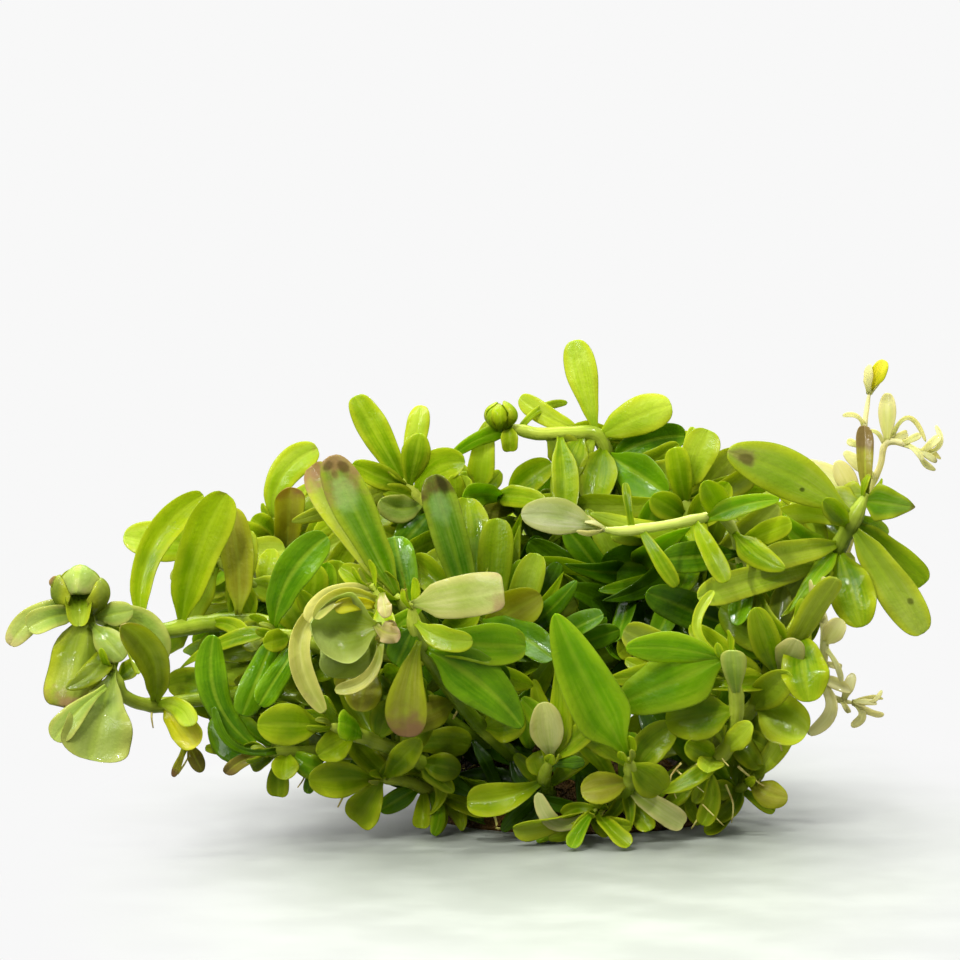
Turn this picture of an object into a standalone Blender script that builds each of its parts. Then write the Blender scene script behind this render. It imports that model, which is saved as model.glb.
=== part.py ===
# Rotala: a small clump of leafy shoots that grow from one lump of matted roots.
# The model is in metres, +Z up. Its origin is the middle of the root mass's flat underside.

import math
import random

import bmesh
import bpy
from mathutils import Matrix, Vector
from mathutils.bvhtree import BVHTree

MM = 0.001

# Driving dimensions, in millimetres
LEAF_THICKNESS = 0.42
GAP = 0.32
FOOT_HALF_WIDTH = 0.22
NARROW_LEAF = 1.3
FLAT_BACK = 0.4
STEM_SIDES = 5
STEM_TOLERANCE = 0.16
ROOT_MASS_WIDTH = 19.0
ROOT_MASS_DEPTH = 15.0
ROOT_MASS_HEIGHT = 5.2
ROOT_MASS_CENTRE = (-1.0, 1.5)
SURFACE_CLEARANCE = 0.05
FOOT_CLEARANCE = 0.25
ROUTE_STEPS = 4
FINE_ROUTE_STEPS = 12
MIDLINE_STEPS = 24

# The clump is laid out as it looks from the front. A place is (across, up, back): across and up
# are read on the upright plane through the origin, and back is the real depth behind that plane.
EYE = Vector((-7.15, -257.1, 44.55))

# How far a leaf may be moved along its line of sight to lie clear of what is there already
DEPTH_STEPS = (0, -0.6, 0.6, -1.2, 1.2, -1.8, 1.8, -2.5, 2.5, -3.3, 3.3, -4.2, 4.2, -5.2, 5.2)

# Outline of the blades: width at the foot, place of the widest point, bluntness of the tip
LEAF_KINDS = {
    "spoon": (0.32, 0.74, 2.4),
    "strap": (0.62, 0.70, 2.5),
    "oval": (0.34, 0.52, 2.2),
    "blade": (0.60, 0.36, 1.8),
    "pointed": (0.75, 0.22, 1.25),
}

COLOURS = {
    "leaf_green": (0.16, 0.33, 0.01),
    "leaf_lime": (0.38, 0.52, 0.02),
    "leaf_deep": (0.05, 0.17, 0.01),
    "leaf_olive": (0.27, 0.28, 0.03),
    "leaf_pale": (0.60, 0.60, 0.26),
    "stem_green": (0.25, 0.38, 0.03),
    "stem_pale": (0.62, 0.66, 0.35),
    "root_brown": (0.05, 0.03, 0.012),
}

# The dense body of the clump as it looks from the front, and the gaps that show through it
BODY_OUTLINE = (
    (-27.0, 8.0), (-26.6, 12.5), (-26.0, 18.0), (-23.8, 18.8), (-20.5, 19.6), (-17.5, 22.3),
    (-14.0, 22.2), (-11.0, 22.6), (-8.0, 23.2), (-7.0, 20.8), (-4.5, 20.6), (-2.5, 21.2),
    (-0.8, 24.0), (1.0, 25.2), (5.5, 25.0), (8.2, 24.6), (12.0, 23.5), (15.0, 21.5), (17.4, 21.2),
    (17.2, 18.0), (15.2, 14.0), (14.2, 9.0), (12.8, 6.0), (10.8, 4.0), (9.2, 2.0), (8.6, -2.0),
    (-10.0, -2.0), (-13.0, 1.0), (-17.0, 2.8), (-20.0, 4.4), (-24.0, 6.0),
)
OPEN_GAPS = (
    (-22.3, 14.2, 0.9), (-25.6, 11.8, 0.7), (-25.4, 9.2, 0.7), (10.4, 19.9, 0.7), (-6.0, 20.3, 0.7),
    (-11.0, 22.2, 0.6), (-11.4, 1.8, 1.0), (-24.7, 5.6, 0.7),
)


def clear_scene():
    for item in list(bpy.data.objects):
        bpy.data.objects.remove(item, do_unlink=True)


def material(name):
    found = bpy.data.materials.get(name)
    if found:
        return found
    made = bpy.data.materials.new(name)
    made.use_nodes = True
    shader = made.node_tree.nodes["Principled BSDF"]
    shader.inputs["Base Color"].default_value = (*COLOURS[name], 1.0)
    shader.inputs["Roughness"].default_value = 0.45
    shader.inputs["Metallic"].default_value = 0.0
    return made


# Places and lines

def seen(across, up, back):
    """The point that looks to be at (across, up) from the front, at depth back."""
    ray = Vector((across, 0.0, up)) - EYE
    return EYE + ray * ((back - EYE.y) / ray.y)


def as_seen(point):
    """Where a point looks to be on the upright plane through the origin."""
    ray = point - EYE
    on_plane = EYE + ray * (-EYE.y / ray.y)
    return on_plane.x, on_plane.z


def inside_outline(across, up):
    inside = False
    previous = BODY_OUTLINE[-1]
    for corner in BODY_OUTLINE:
        if (corner[1] > up) != (previous[1] > up):
            share = (up - corner[1]) / (previous[1] - corner[1])
            if across < corner[0] + share * (previous[0] - corner[0]):
                inside = not inside
        previous = corner
    for gap_across, gap_up, gap_radius in OPEN_GAPS:
        if math.hypot(across - gap_across, up - gap_up) < gap_radius:
            inside = False
    return inside


def smooth_route(points, steps):
    """A smooth line through the given points, with some steps between each two."""
    line = []
    last = len(points) - 1
    for index in range(last):
        before = points[max(index - 1, 0)]
        start = points[index]
        end = points[index + 1]
        after = points[min(index + 2, last)]
        for step in range(steps):
            t = step / steps
            bend_in = (end - before) * 0.5
            bend_out = (after - start) * 0.5
            line.append(
                start * (2 * t ** 3 - 3 * t ** 2 + 1) + bend_in * (t ** 3 - 2 * t ** 2 + t)
                + end * (3 * t ** 2 - 2 * t ** 3) + bend_out * (t ** 3 - t ** 2))
    line.append(points[-1])
    return line


def without_straight_points(line, tolerance):
    """The same line without the points that it would pass anyway."""
    start, end = line[0], line[-1]
    along = (end - start).normalized()
    off = [((point - start) - along * (point - start).dot(along)).length for point in line]
    furthest = max(range(len(line)), key=lambda index: off[index])
    if off[furthest] <= tolerance:
        return [start, end]
    first = without_straight_points(line[:furthest + 1], tolerance)
    second = without_straight_points(line[furthest:], tolerance)
    return first[:-1] + second


# Meshes, in millimetres until everything is joined

def tube_mesh(line, radius_start, radius_end, sides):
    verts = []
    faces = []
    across = (line[1] - line[0]).orthogonal().normalized()
    last = len(line) - 1
    for index, point in enumerate(line):
        along = (line[min(index + 1, last)] - line[max(index - 1, 0)]).normalized()
        across = (across - along * across.dot(along)).normalized()
        other = along.cross(across)
        radius = radius_start + (radius_end - radius_start) * index / last
        for side in range(sides):
            angle = 2 * math.pi * side / sides
            verts.append(point + (across * math.cos(angle) + other * math.sin(angle)) * radius)
    for index in range(last):
        for side in range(sides):
            a = index * sides + side
            b = index * sides + (side + 1) % sides
            faces.append((a, b, b + sides, a + sides))
    faces.append(tuple(reversed(range(sides))))
    faces.append(tuple(last * sides + side for side in range(sides)))
    return verts, faces


def width_share(kind, s):
    foot, widest, blunt = LEAF_KINDS[kind]
    if s <= widest:
        t = s / widest
        return foot + (1 - foot) * t * t * (3 - 2 * t)
    return max(0.0, 1 - ((s - widest) / (1 - widest)) ** blunt) ** (1 / blunt)


def leaf_line(foot, tip, bow, arch):
    """The leaf's midline: bow bends it to its left as seen, arch bends it to the front."""
    towards = (EYE - (foot + tip) * 0.5).normalized()
    along = tip - foot
    left = towards.cross(along).normalized()
    bend = (foot + tip) * 0.5 + (left * bow + towards * arch) * 2

    def at(s):
        return foot * (1 - s) ** 2 + bend * 2 * s * (1 - s) + tip * s * s
    return at, towards


def leaf_mesh(leaf, foot, tip, thickness):
    """A blade with a ridge along its bent midline, on both faces or the front one, round at the end."""
    at, towards = leaf_line(foot, tip, leaf["bow"], leaf["arch"])
    stations = leaf["stations"]
    verts = []
    faces = []
    for s in stations:
        point = at(s)
        along = (at(min(s + 0.02, 1.0)) - at(max(s - 0.02, 0.0))).normalized()
        side = towards.cross(along).normalized()
        face = along.cross(side).normalized()
        turn = math.radians(leaf["roll"])
        side_turned = side * math.cos(turn) + face * math.sin(turn)
        face_turned = along.cross(side_turned).normalized()
        half = leaf["wide"] * 0.5 * width_share(leaf["kind"], s)
        if s == 0.0 and not leaf["own"]:
            half = min(half, FOOT_HALF_WIDTH)
        thick = thickness * 0.5
        sunk = face_turned * (0.0 if leaf["ridged_back"] else -thick * FLAT_BACK)
        corners = [side_turned * half + sunk, face_turned * thick, side_turned * -half + sunk]
        if leaf["ridged_back"]:
            corners.append(face_turned * -thick)
        verts.extend(point + corner for corner in corners)
    around = len(corners)
    for index in range(len(stations) - 1):
        for corner in range(around):
            a = index * around + corner
            b = index * around + (corner + 1) % around
            faces.append((a, b, b + around, a + around))
    end = (len(stations) - 1) * around
    verts.append(at(1.0))
    for corner in range(around):
        faces.append((end + corner, end + (corner + 1) % around, len(verts) - 1))
    faces.append(tuple(reversed(range(around))))
    return verts, faces


def in_triangles(mesh):
    """Splits every face, so that none of them is bent."""
    work = bmesh.new()
    work.from_mesh(mesh)
    bmesh.ops.triangulate(work, faces=work.faces)
    work.to_mesh(mesh)
    work.free()


def make_object(name, verts, faces, colour):
    mesh = bpy.data.meshes.new(name)
    mesh.from_pydata(verts, [], faces)
    in_triangles(mesh)
    made = bpy.data.objects.new(name, mesh)
    made.data.materials.append(material(colour))
    bpy.context.scene.collection.objects.link(made)
    return made


# What stands where, for keeping pieces clear of each other

class Space:
    def __init__(self):
        self.taken = []

    def add(self, owner, verts, faces):
        self.taken.append((owner, BVHTree.FromPolygons(verts, faces)))

    def is_free(self, verts, faces, but=()):
        tree = BVHTree.FromPolygons(verts, faces)
        for owner, other in self.taken:
            if owner not in but and tree.overlap(other):
                return False
        return True


def spread(verts, middle, gap):
    """The same points moved out from a line's nearest point by the gap."""
    moved = []
    for vert in verts:
        nearest = min(middle, key=lambda point: (point - vert).length_squared)
        out = vert - nearest
        moved.append(vert + out.normalized() * gap)
    return moved


# The plan of a shoot and its leaves

def leaf(foot, tip, wide, kind="strap", bow=0.0, arch=0.4, roll=0.0, own="", large=False,
         colour="leaf_green"):
    stations = (0.0, 0.34, 0.68, 0.91) if own or large else (0.0, 0.52, 0.88)
    if wide < NARROW_LEAF:
        stations = (0.0, 0.64)
    return {"foot": foot, "tip": tip, "wide": wide, "kind": kind, "bow": bow, "arch": arch,
            "roll": roll, "own": own, "colour": colour, "stations": stations,
            "ridged_back": bool(own or large)}


def shoot(name, route, radius, leaves, colour="stem_green", bud=None):
    return {"name": "shoot_" + name, "route": [seen(*place) for place in route], "radius": radius,
            "leaves": leaves, "colour": colour, "bud": bud}


def left_long():
    return shoot("left_long", [(-8, 5.5, 1), (-13, 9, -1), (-18, 11.8, -2.5), (-21.5, 12.8, -3.5),
                               (-25, 12.7, -4.5), (-28.5, 12.2, -6), (-31, 12.9, -8),
                               (-32.8, 13.8, -10)], 0.6, [
        leaf((-28.9, 12.6), (-25.0, 21.1, -3), 2.0, bow=1.6, own="leaf_arch_outer"),
        leaf((-26.6, 12.9), (-23.5, 21.2, -6), 2.9, bow=0.5, large=True),
        leaf((-23.4, 13.0), (-22.3, 18.9, -1), 2.0, arch=0.2, roll=15),
        leaf((-33.2, 13.6), (-37.6, 11.3, -11), 1.6, bow=-0.9, large=True),
        leaf((-32.6, 13.2), (-34.0, 7.2, -13), 3.6, "strap", own="leaf_far_left_broad"),
        leaf((-31.8, 13.2), (-28.1, 10.0, -9), 2.2, bow=1.3, large=True,
             colour="leaf_deep"),
        leaf((-25.7, 12.7), (-27.8, 10.7, -3), 1.7, "oval", bow=-0.3),
        leaf((-24.0, 12.7), (-25.2, 9.9, -2), 1.4, "oval"),
        leaf((-21.8, 12.8), (-22.7, 15.4, -3), 1.5, "oval"),
    ], bud=(1.55, -33.0, 14.9, -10))


def left_up():
    return shoot("left_up", [(-9, 6.5, 5), (-15, 10.5, 4), (-20.5, 14.2, 2), (-23.6, 16.6, 1),
                             (-25, 17.9, 1)], 0.5, [
        leaf((-24.8, 17.7), (-30.2, 18.4, 0), 2.6, "oval", own="leaf_left_round",
             colour="leaf_lime"),
        leaf((-24.2, 17.1), (-27.0, 15.3, 0), 1.7, "spoon", colour="leaf_olive"),
        leaf((-23.7, 16.7), (-24.5, 20.5, -1), 2.2),
        leaf((-21.8, 15.2), (-23.6, 14.3, -1), 1.6, "oval"),
        leaf((-21.2, 14.7), (-20.6, 17.6, 3), 1.6, "oval"),
    ])


def left_low():
    return shoot("left_low", [(-8.5, 4, -1), (-14, 6.6, -3), (-20, 7.9, -5), (-25, 7.8, -7),
                              (-28.3, 7.4, -9), (-30.3, 8.1, -11), (-31.0, 10.1, -12)], 0.5, [
        leaf((-28.3, 7.6), (-30.4, 12.6, -13), 2.0, bow=-1.0, large=True,
             colour="leaf_olive"),
        leaf((-31.0, 9.6), (-32.5, 3.8, -14), 4.4, "spoon", arch=0.8, own="leaf_left_folded"),
        leaf((-27.6, 7.5), (-25.5, 4.7, -11.5), 1.8, large=True, colour="leaf_lime"),
        leaf((-24.3, 7.9), (-27.4, 8.6, -5), 2.2, "oval", bow=-0.5),
        leaf((-21.5, 7.9), (-24.8, 6.6, -6), 2.0, "oval"),
        leaf((-30.6, 8.9), (-29.4, 10.2, -9), 1.2, "oval"),
    ])


def left_cup():
    return shoot("left_cup", [(-9.5, 3, -3.5), (-14, 4.2, -5.5), (-18.5, 4.3, -8.5),
                              (-21.3, 4.3, -10.5)], 0.5, [
        leaf((-21.3, 4.5), (-24.4, 12.0, -11), 1.9, bow=1.4, large=True,
             colour="leaf_deep"),
        leaf((-20.9, 4.3), (-24.3, 6.7, -9), 2.2, "oval", bow=0.9, colour="leaf_deep"),
        leaf((-20.3, 4.1), (-22.0, 3.3, -9), 0.9),
        leaf((-19.7, 4.2), (-19.9, 2.5, -12), 1.7, "oval"),
        leaf((-20.1, 4.2), (-20.3, 1.4, -9), 1.5, "spoon"),
        leaf((-21.2, 4.3), (-25.0, 4.6, -8), 0.7),
        leaf((-18.2, 4.3), (-19.7, 5.2, -8), 1.6, "oval"),
    ])


def left_mid():
    return shoot("left_mid", [(-8.5, 2.2, -4), (-12, 4.2, -9), (-15.5, 5.6, -12),
                              (-17.2, 6.1, -13)], 0.5, [
        leaf((-17.2, 6.1), (-21.6, 6.15, -15), 2.5, "oval", own="leaf_round_left"),
        leaf((-15.3, 5.5), (-17.7, 4.1, -13), 1.9, "oval"),
        leaf((-12.4, 4.4), (-10.3, 6.4, -12), 1.8, "oval", colour="leaf_lime"),
        leaf((-13.9, 5.0), (-12.9, 7.7, -11), 1.9, "oval"),
        leaf((-11.2, 3.7), (-8.4, 3.1, -8), 1.8, "oval"),
    ])


def left_floor():
    return shoot("left_floor", [(-9.5, 1.4, -3), (-11.8, 2.4, -6.5), (-13.9, 2.6, -9)], 0.45, [
        leaf((-14.0, 2.6), (-18.3, 2.5, -11), 2.3, "oval", large=True),
        leaf((-13.6, 2.4), (-15.2, -0.3, -8), 2.4, "spoon", large=True),
        leaf((-11.0, 1.9), (-13.7, 0.5, -6), 1.4, "oval", colour="leaf_deep"),
        leaf((-10.9, 1.9), (-11.0, -0.7, -6.5), 1.2, "spoon"),
        leaf((-13.4, 2.8), (-11.0, 5.2, -10.5), 1.7, "oval"),
    ])


def left_dark():
    return shoot("left_dark", [(-7.5, 5, -3), (-12.5, 9.2, -6), (-17, 11.0, -8),
                               (-20.7, 12.3, -9.5)], 0.5, [
        leaf((-20.9, 12.5), (-17.0, 18.4, -10), 2.3, bow=0.8, own="leaf_dark_arch",
             colour="leaf_deep"),
        leaf((-20.4, 12.1), (-22.6, 6.7, -12), 1.9, large=True, colour="leaf_deep"),
        leaf((-18.9, 11.6), (-21.5, 7.4, -13.5), 1.7, colour="leaf_deep"),
        leaf((-19.5, 11.8), (-21.2, 11.4, -12), 1.5, "oval"),
        leaf((-18.2, 11.3), (-19.9, 8.6, -8), 1.8, "oval"),
        leaf((-17.6, 11.2), (-20.6, 14.9, -7), 1.9),
        leaf((-15.6, 10.5), (-18.9, 9.2, -7), 1.6, "oval"),
    ])


def left_back():
    return shoot("left_back", [(-6, 6.5, 6), (-11, 11, 7.5), (-16, 14.5, 7.5), (-19.5, 17, 6.5),
                               (-20.6, 19.6, 6)], 0.5, [
        leaf((-20.6, 19.6), (-17.6, 24.1, 7), 2.1, bow=1.0, own="leaf_back_arch"),
        leaf((-19.9, 17.2), (-19.4, 21.6, 3.5), 2.1, large=True, colour="leaf_olive"),
        leaf((-20.4, 18.4), (-21.9, 19.6, 4.5), 1.6, "oval"),
        leaf((-19.5, 16.9), (-22.8, 15.9, 1), 2.2, "oval", arch=0.2, large=True,
             colour="leaf_pale"),
        leaf((-18.6, 16.3), (-21.9, 14.9, 3), 1.9, "oval"),
        leaf((-20.2, 17.8), (-24.0, 18.9, 2.5), 2.0, "oval"),
        leaf((-17.6, 15.6), (-17.4, 19.6, 5), 2.0),
    ])


def red_tip():
    return shoot("red_tip", [(-5.5, 6.3, 0), (-9, 10.5, -3), (-12.6, 14.6, -6)], 0.55, [
        leaf((-12.9, 14.9), (-16.9, 23.6, -6), 2.6, own="leaf_red_tip"),
        leaf((-12.3, 14.3), (-18.0, 23.0, -3), 2.6, large=True, colour="leaf_olive"),
        leaf((-11.5, 13.4), (-12.7, 18.4, -4), 2.2, colour="leaf_deep"),
        leaf((-12.4, 14.6), (-16.2, 16.4, -4), 1.8, "oval"),
        leaf((-10.0, 11.7), (-7.2, 13.5, -6), 1.9, "oval"),
        leaf((-10.9, 12.8), (-15.2, 15.0, -1), 2.2, "oval"),
    ])


def curl():
    return shoot("curl", [(-6.5, 4.4, -4.5), (-11, 7.8, -8), (-14.4, 9.6, -9), (-13.6, 13.2, -10),
                          (-14.2, 15.3, -10.5)], 0.45, [
        leaf((-14.3, 15.5), (-17.2, 6.9, -15), 1.4, bow=-3.0, arch=0.8, large=True, colour="leaf_pale"),
        leaf((-14.0, 14.8), (-18.3, 12.8, -14), 1.6, bow=-0.7, large=True,
             colour="leaf_pale"),
        leaf((-13.9, 12.8), (-17.5, 10.6, -15.5), 2.9, "oval", bow=0.8, large=True, colour="leaf_pale"),
        leaf((-13.7, 13.8), (-13.0, 11.9, -13), 1.4, "oval"),
        leaf((-14.3, 10.0), (-16.4, 8.5, -11), 2.1, "oval", colour="leaf_olive"),
        leaf((-12.6, 8.8), (-15.6, 7.3, -12), 1.7, "oval"),
        leaf((-14.2, 9.6), (-12.9, 8.2, -11), 1.0),
        leaf((-10.5, 7.5), (-12.0, 5.6, -11), 2.0, "oval", colour="leaf_olive"),
    ])


def star():
    return shoot("star", [(-3.5, 8.3, 3), (-6, 14, 4), (-9.5, 19, 3.5), (-12.2, 22.1, 2.5)], 0.5, [
        leaf((-12.4, 22.3), (-15.2, 27.5, 3), 2.1, own="leaf_star_strap"),
        leaf((-12.0, 22.1), (-10.9, 26.9, 4), 1.5, large=True, colour="leaf_lime"),
        leaf((-11.7, 21.7), (-11.0, 25.1, 1.2), 1.9, "oval"),
        leaf((-12.5, 22.2), (-15.4, 23.1, 1.5), 1.7, "oval"),
        leaf((-11.2, 21.2), (-8.1, 23.2, 1), 2.3, "oval", bow=0.7),
        leaf((-10.8, 20.6), (-13.6, 20.8, 0), 2.0, "oval", bow=0.5, large=True,
             colour="leaf_olive"),
        leaf((-11.2, 21.1), (-13.5, 21.5, 2), 1.2, "oval"),
        leaf((-10.3, 20.0), (-12.5, 17.6, 1), 2.2, "oval", colour="leaf_deep"),
        leaf((-9.2, 18.7), (-12.4, 18.2, 4), 2.0, "oval"),
    ])


def dark_tip():
    return shoot("dark_tip", [(-3, 6.3, -1.5), (-5, 9.5, -4), (-7.8, 13.6, -6)], 0.5, [
        leaf((-8.2, 14.2), (-10.2, 22.4, -6), 2.4, own="leaf_dark_tip", colour="leaf_deep"),
        leaf((-7.6, 13.8), (-8.0, 20.9, -3), 2.5, large=True),
        leaf((-6.5, 12.0), (-6.0, 19.6, -4), 2.3),
        leaf((-7.2, 13.0), (-11.6, 17.0, -4), 2.0),
        leaf((-5.6, 10.6), (-3.4, 17.3, -5), 2.1, colour="leaf_lime"),
        leaf((-6.9, 12.6), (-3.2, 14.6, -8), 2.8, "oval", colour="leaf_olive"),
        leaf((-4.6, 9.0), (-7.5, 6.3, -6), 2.6, "oval"),
    ])


def cream():
    return shoot("cream", [(-4.5, 3.6, -5.5), (-8, 7, -10), (-11, 11.5, -14),
                           (-11.6, 14.1, -15.5)], 0.5, [
        leaf((-11.4, 14.1), (-5.6, 14.9, -18), 2.6, arch=0.2, own="leaf_cream_front",
             colour="leaf_pale"),
        leaf((-10.9, 11.6), (-4.2, 11.3, -13), 2.5, large=True),
        leaf((-9.6, 9.6), (-5.2, 9.0, -12), 2.8, "oval", large=True,
             colour="leaf_deep"),
        leaf((-10.2, 10.6), (-13.2, 11.8, -12), 2.2, "oval", colour="leaf_deep"),
        leaf((-8.4, 7.6), (-12.4, 6.1, -12), 2.2, "oval", colour="leaf_olive"),
        leaf((-7.0, 6.2), (-4.2, 6.6, -10), 2.6, "oval"),
        leaf((-11.2, 12.6), (-12.6, 10.0, -13.5), 2.0, "oval", colour="leaf_deep"),
    ])


def lime():
    return shoot("lime", [(-1.3, 9.3, 4.5), (-2.5, 15, 5.5), (-4, 19.3, 5), (-5.6, 20.9, 4.5),
                          (-7.4, 21.0, 4)], 0.5, [
        leaf((-7.4, 21.1), (-6.7, 25.9, 3), 1.7, "blade", own="leaf_lime_strap",
             colour="leaf_lime"),
        leaf((-7.0, 21.0), (-5.8, 22.6, 5.5), 1.1, "oval"),
        leaf((-5.4, 20.9), (-2.5, 23.1, 4), 2.0, "oval", bow=0.2, large=True),
        leaf((-4.6, 20.2), (-8.0, 19.8, 3), 1.4, "oval", colour="leaf_olive"),
        leaf((-4.2, 19.6), (-6.9, 17.8, 2), 2.0, "oval"),
        leaf((-3.8, 19.0), (-1.4, 17.0, 3), 2.0, "oval"),
    ])


def top():
    return shoot("top", [(1, 9.6, 3), (1.8, 15, 4), (1.5, 21, 4), (0.6, 24.7, 3.5),
                         (-1.2, 25.1, 3), (-3.5, 25.05, 2.6), (-5.4, 25.6, 2.2)], 0.5, [
        leaf((0.5, 25.2), (-1.1, 31.1, 4), 2.1, "spoon", arch=0.3, own="leaf_top_spoon",
             colour="leaf_lime"),
        leaf((0.7, 24.9), (5.2, 26.9, 3), 2.5, "spoon", bow=0.2, own="leaf_top_right",
             colour="leaf_lime"),
        leaf((-0.6, 25.1), (-4.6, 27.4, 4), 1.4, bow=0.2, large=True,
             colour="leaf_lime"),
        leaf((-4.6, 25.3), (-1.5, 27.05, 5), 0.6, bow=0.5),
        leaf((-5.4, 25.6), (-5.2, 23.9, 2), 1.2, "oval"),
        leaf((1.3, 23.2), (6.1, 24.9, 4.5), 1.9, bow=0.5, colour="leaf_deep"),
        leaf((1.0, 23.9), (5.0, 21.1, -1), 2.7, "oval", large=True,
             colour="leaf_deep"),
        leaf((0.9, 24.2), (0.1, 20.5, 0), 2.7, "oval", large=True),
        leaf((0.2, 24.9), (-2.4, 21.5, 2), 1.3, bow=0.3, colour="leaf_lime"),
        leaf((1.4, 22.1), (4.7, 20.0, 1), 2.0, "oval"),
        leaf((1.7, 19.0), (-1.2, 18.0, 2), 2.2, "oval", colour="leaf_deep"),
    ], bud=(1.0, -5.9, 26.2, 2))


def crown():
    return shoot("crown", [(4.5, 8.8, 1), (5.8, 14, 0), (6.2, 19, -0.5), (5.9, 21.7, -0.5)], 0.5, [
        leaf((5.9, 21.2), (7.6, 25.3, -1), 2.3, large=True, colour="leaf_olive"),
        leaf((5.9, 21.6), (6.6, 25.5, 1), 0.9),
        leaf((6.0, 20.4), (5.4, 24.2, -2.5), 1.7),
        leaf((6.2, 19.6), (3.9, 21.0, -2.5), 1.9, "oval"),
        leaf((6.2, 18.7), (8.9, 21.9, -3), 2.1, "oval"),
        leaf((6.1, 16.8), (0.6, 16.6, -3), 2.9, "oval", colour="leaf_deep"),
        leaf((6.0, 15.3), (9.4, 15.6, -3), 2.0, "oval", colour="leaf_deep"),
        leaf((5.7, 13.8), (2.2, 12.3, -3), 2.4, "oval", colour="leaf_deep"),
    ])


def pale_stem():
    return shoot("pale_stem", [(7.8, 7.4, -2.5), (9.3, 12, -2.2), (9.7, 17, -2.4), (8.6, 19.6, -5),
                               (6.8, 19.5, -6.6), (5, 19.15, -7.5), (2, 18.75, -8), (0.4, 18.95, -8.5)], 0.36, [
        leaf((0.4, 18.95), (-4.5, 19.8, -9.5), 2.3, "oval", bow=-0.3, own="leaf_whitish",
             colour="leaf_pale"),
        leaf((2.7, 18.9), (2.2, 21.9, -7), 0.6),
        leaf((3.2, 18.85), (5.6, 15.1, -9), 1.0),
        leaf((9.5, 17.3), (4.5, 16.9, -8), 2.0, "oval", large=True,
             colour="leaf_deep"),
        leaf((9.6, 17.9), (13.0, 19.3, -7.0), 1.5),
        leaf((8.9, 19.3), (7.3, 22.0, -8), 1.8, "oval"),
        leaf((6.6, 19.5), (8.8, 15.4, -9.5), 1.4),
        leaf((9.2, 12.5), (3.6, 14.8, -7), 2.6, "oval", large=True,
             colour="leaf_deep"),
    ], colour="stem_pale")


def right_main():
    return shoot("right_main", [(8, 6.2, 3), (12, 11.5, 2.5), (15.2, 16.3, 1), (16.8, 19.2, 0),
                                (17.8, 21.2, 0)], 0.6, [
        leaf((16.9, 19.6), (8.8, 23.9, -3), 3.0, "oval", bow=-0.5, own="leaf_brown_spot"),
        leaf((15.3, 16.5), (6.9, 14.4, -7.5), 2.0, bow=-0.2, own="leaf_lime_long",
             colour="leaf_lime"),
        leaf((17.6, 20.7), (20.95, 20.3, 1), 2.7, "pointed", own="leaf_right_dark_tip"),
        leaf((17.9, 21.3), (17.6, 25.6, 1), 1.15, own="leaf_olive_upright", colour="leaf_olive"),
        leaf((17.0, 19.2), (21.6, 12.1, -1), 2.5, own="leaf_right_long", colour="leaf_lime"),
        leaf((17.2, 19.5), (21.6, 15.3, 3), 2.2, large=True),
        leaf((17.2, 19.8), (19.2, 18.5, 3.5), 1.1, "oval"),
        leaf((16.0, 17.6), (17.6, 12.5, -2), 2.9, "oval", own="leaf_right_oval"),
        leaf((16.9, 19.4), (15.0, 20.8, -3), 1.4, "oval"),
        leaf((16.1, 17.9), (11.1, 16.9, -4), 1.8, large=True, colour="leaf_lime"),
        leaf((14.6, 15.4), (11.0, 18.9, -1), 2.3, "oval"),
    ])


def right_low():
    return shoot("right_low", [(7.6, 4.8, -2), (10.5, 7.2, -5), (12.5, 10, -6), (13.6, 13, -6.5)],
                 0.5, [
        leaf((13.4, 12.4), (14.2, 7.6, -9.5), 3.0, "oval", large=True),
        leaf((12.2, 9.6), (13.4, 11.7, -9), 1.9, "oval", large=True,
             colour="leaf_pale"),
        leaf((10.6, 7.4), (14.1, 5.6, -7), 3.2, "oval", large=True,
             colour="leaf_lime"),
        leaf((10.3, 7.1), (12.9, 9.6, -9), 2.2, "oval", colour="leaf_lime"),
        leaf((12.0, 9.4), (10.6, 13.8, -8), 1.9, "oval"),
        leaf((12.7, 10.6), (8.4, 13.8, -6), 2.5, "oval", large=True,
             colour="leaf_olive"),
        leaf((9.3, 6.1), (11.6, 4.5, -5), 1.3, "oval"),
        leaf((9.0, 5.9), (11.0, 3.2, -6.5), 1.6, "oval"),
        leaf((13.0, 11.2), (14.5, 9.3, -5), 2.1, "oval"),
    ])


def right_front():
    return shoot("right_front", [(6.2, 2.6, -6), (8.8, 4.5, -9), (9.5, 7.6, -11),
                                 (8.8, 10.6, -12)], 0.5, [
        leaf((8.8, 10.5), (1.7, 7.4, -11), 3.9, "blade", own="leaf_big_left"),
        leaf((9.5, 7.8), (9.2, 11.0, -14), 1.6, "spoon", large=True,
             colour="leaf_olive"),
        leaf((9.4, 7.0), (4.9, 6.3, -10), 3.0, "oval", large=True),
        leaf((8.6, 4.4), (10.5, 6.2, -12), 1.6, "oval", colour="leaf_lime"),
        leaf((8.8, 10.6), (8.0, 14.9, -11), 0.7, bow=1.5, colour="leaf_lime"),
        leaf((8.2, 4.0), (6.2, 4.9, -11), 1.7, "oval"),
    ])


def right_floor():
    return shoot("right_floor", [(8.8, 1.2, -3.5), (10.4, 2.4, -6)], 0.4, [
        leaf((10.3, 2.3), (12.85, 1.3, -6.5), 1.8, "oval", bow=-0.2, large=True,
             colour="leaf_olive"),
        leaf((9.8, 1.9), (12.0, 0.4, -5), 0.8),
        leaf((9.6, 1.8), (7.7, 1.9, -6.5), 1.3, "oval"),
        leaf((10.3, 2.4), (11.2, 3.3, -5), 1.0, "oval"),
    ])


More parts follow.
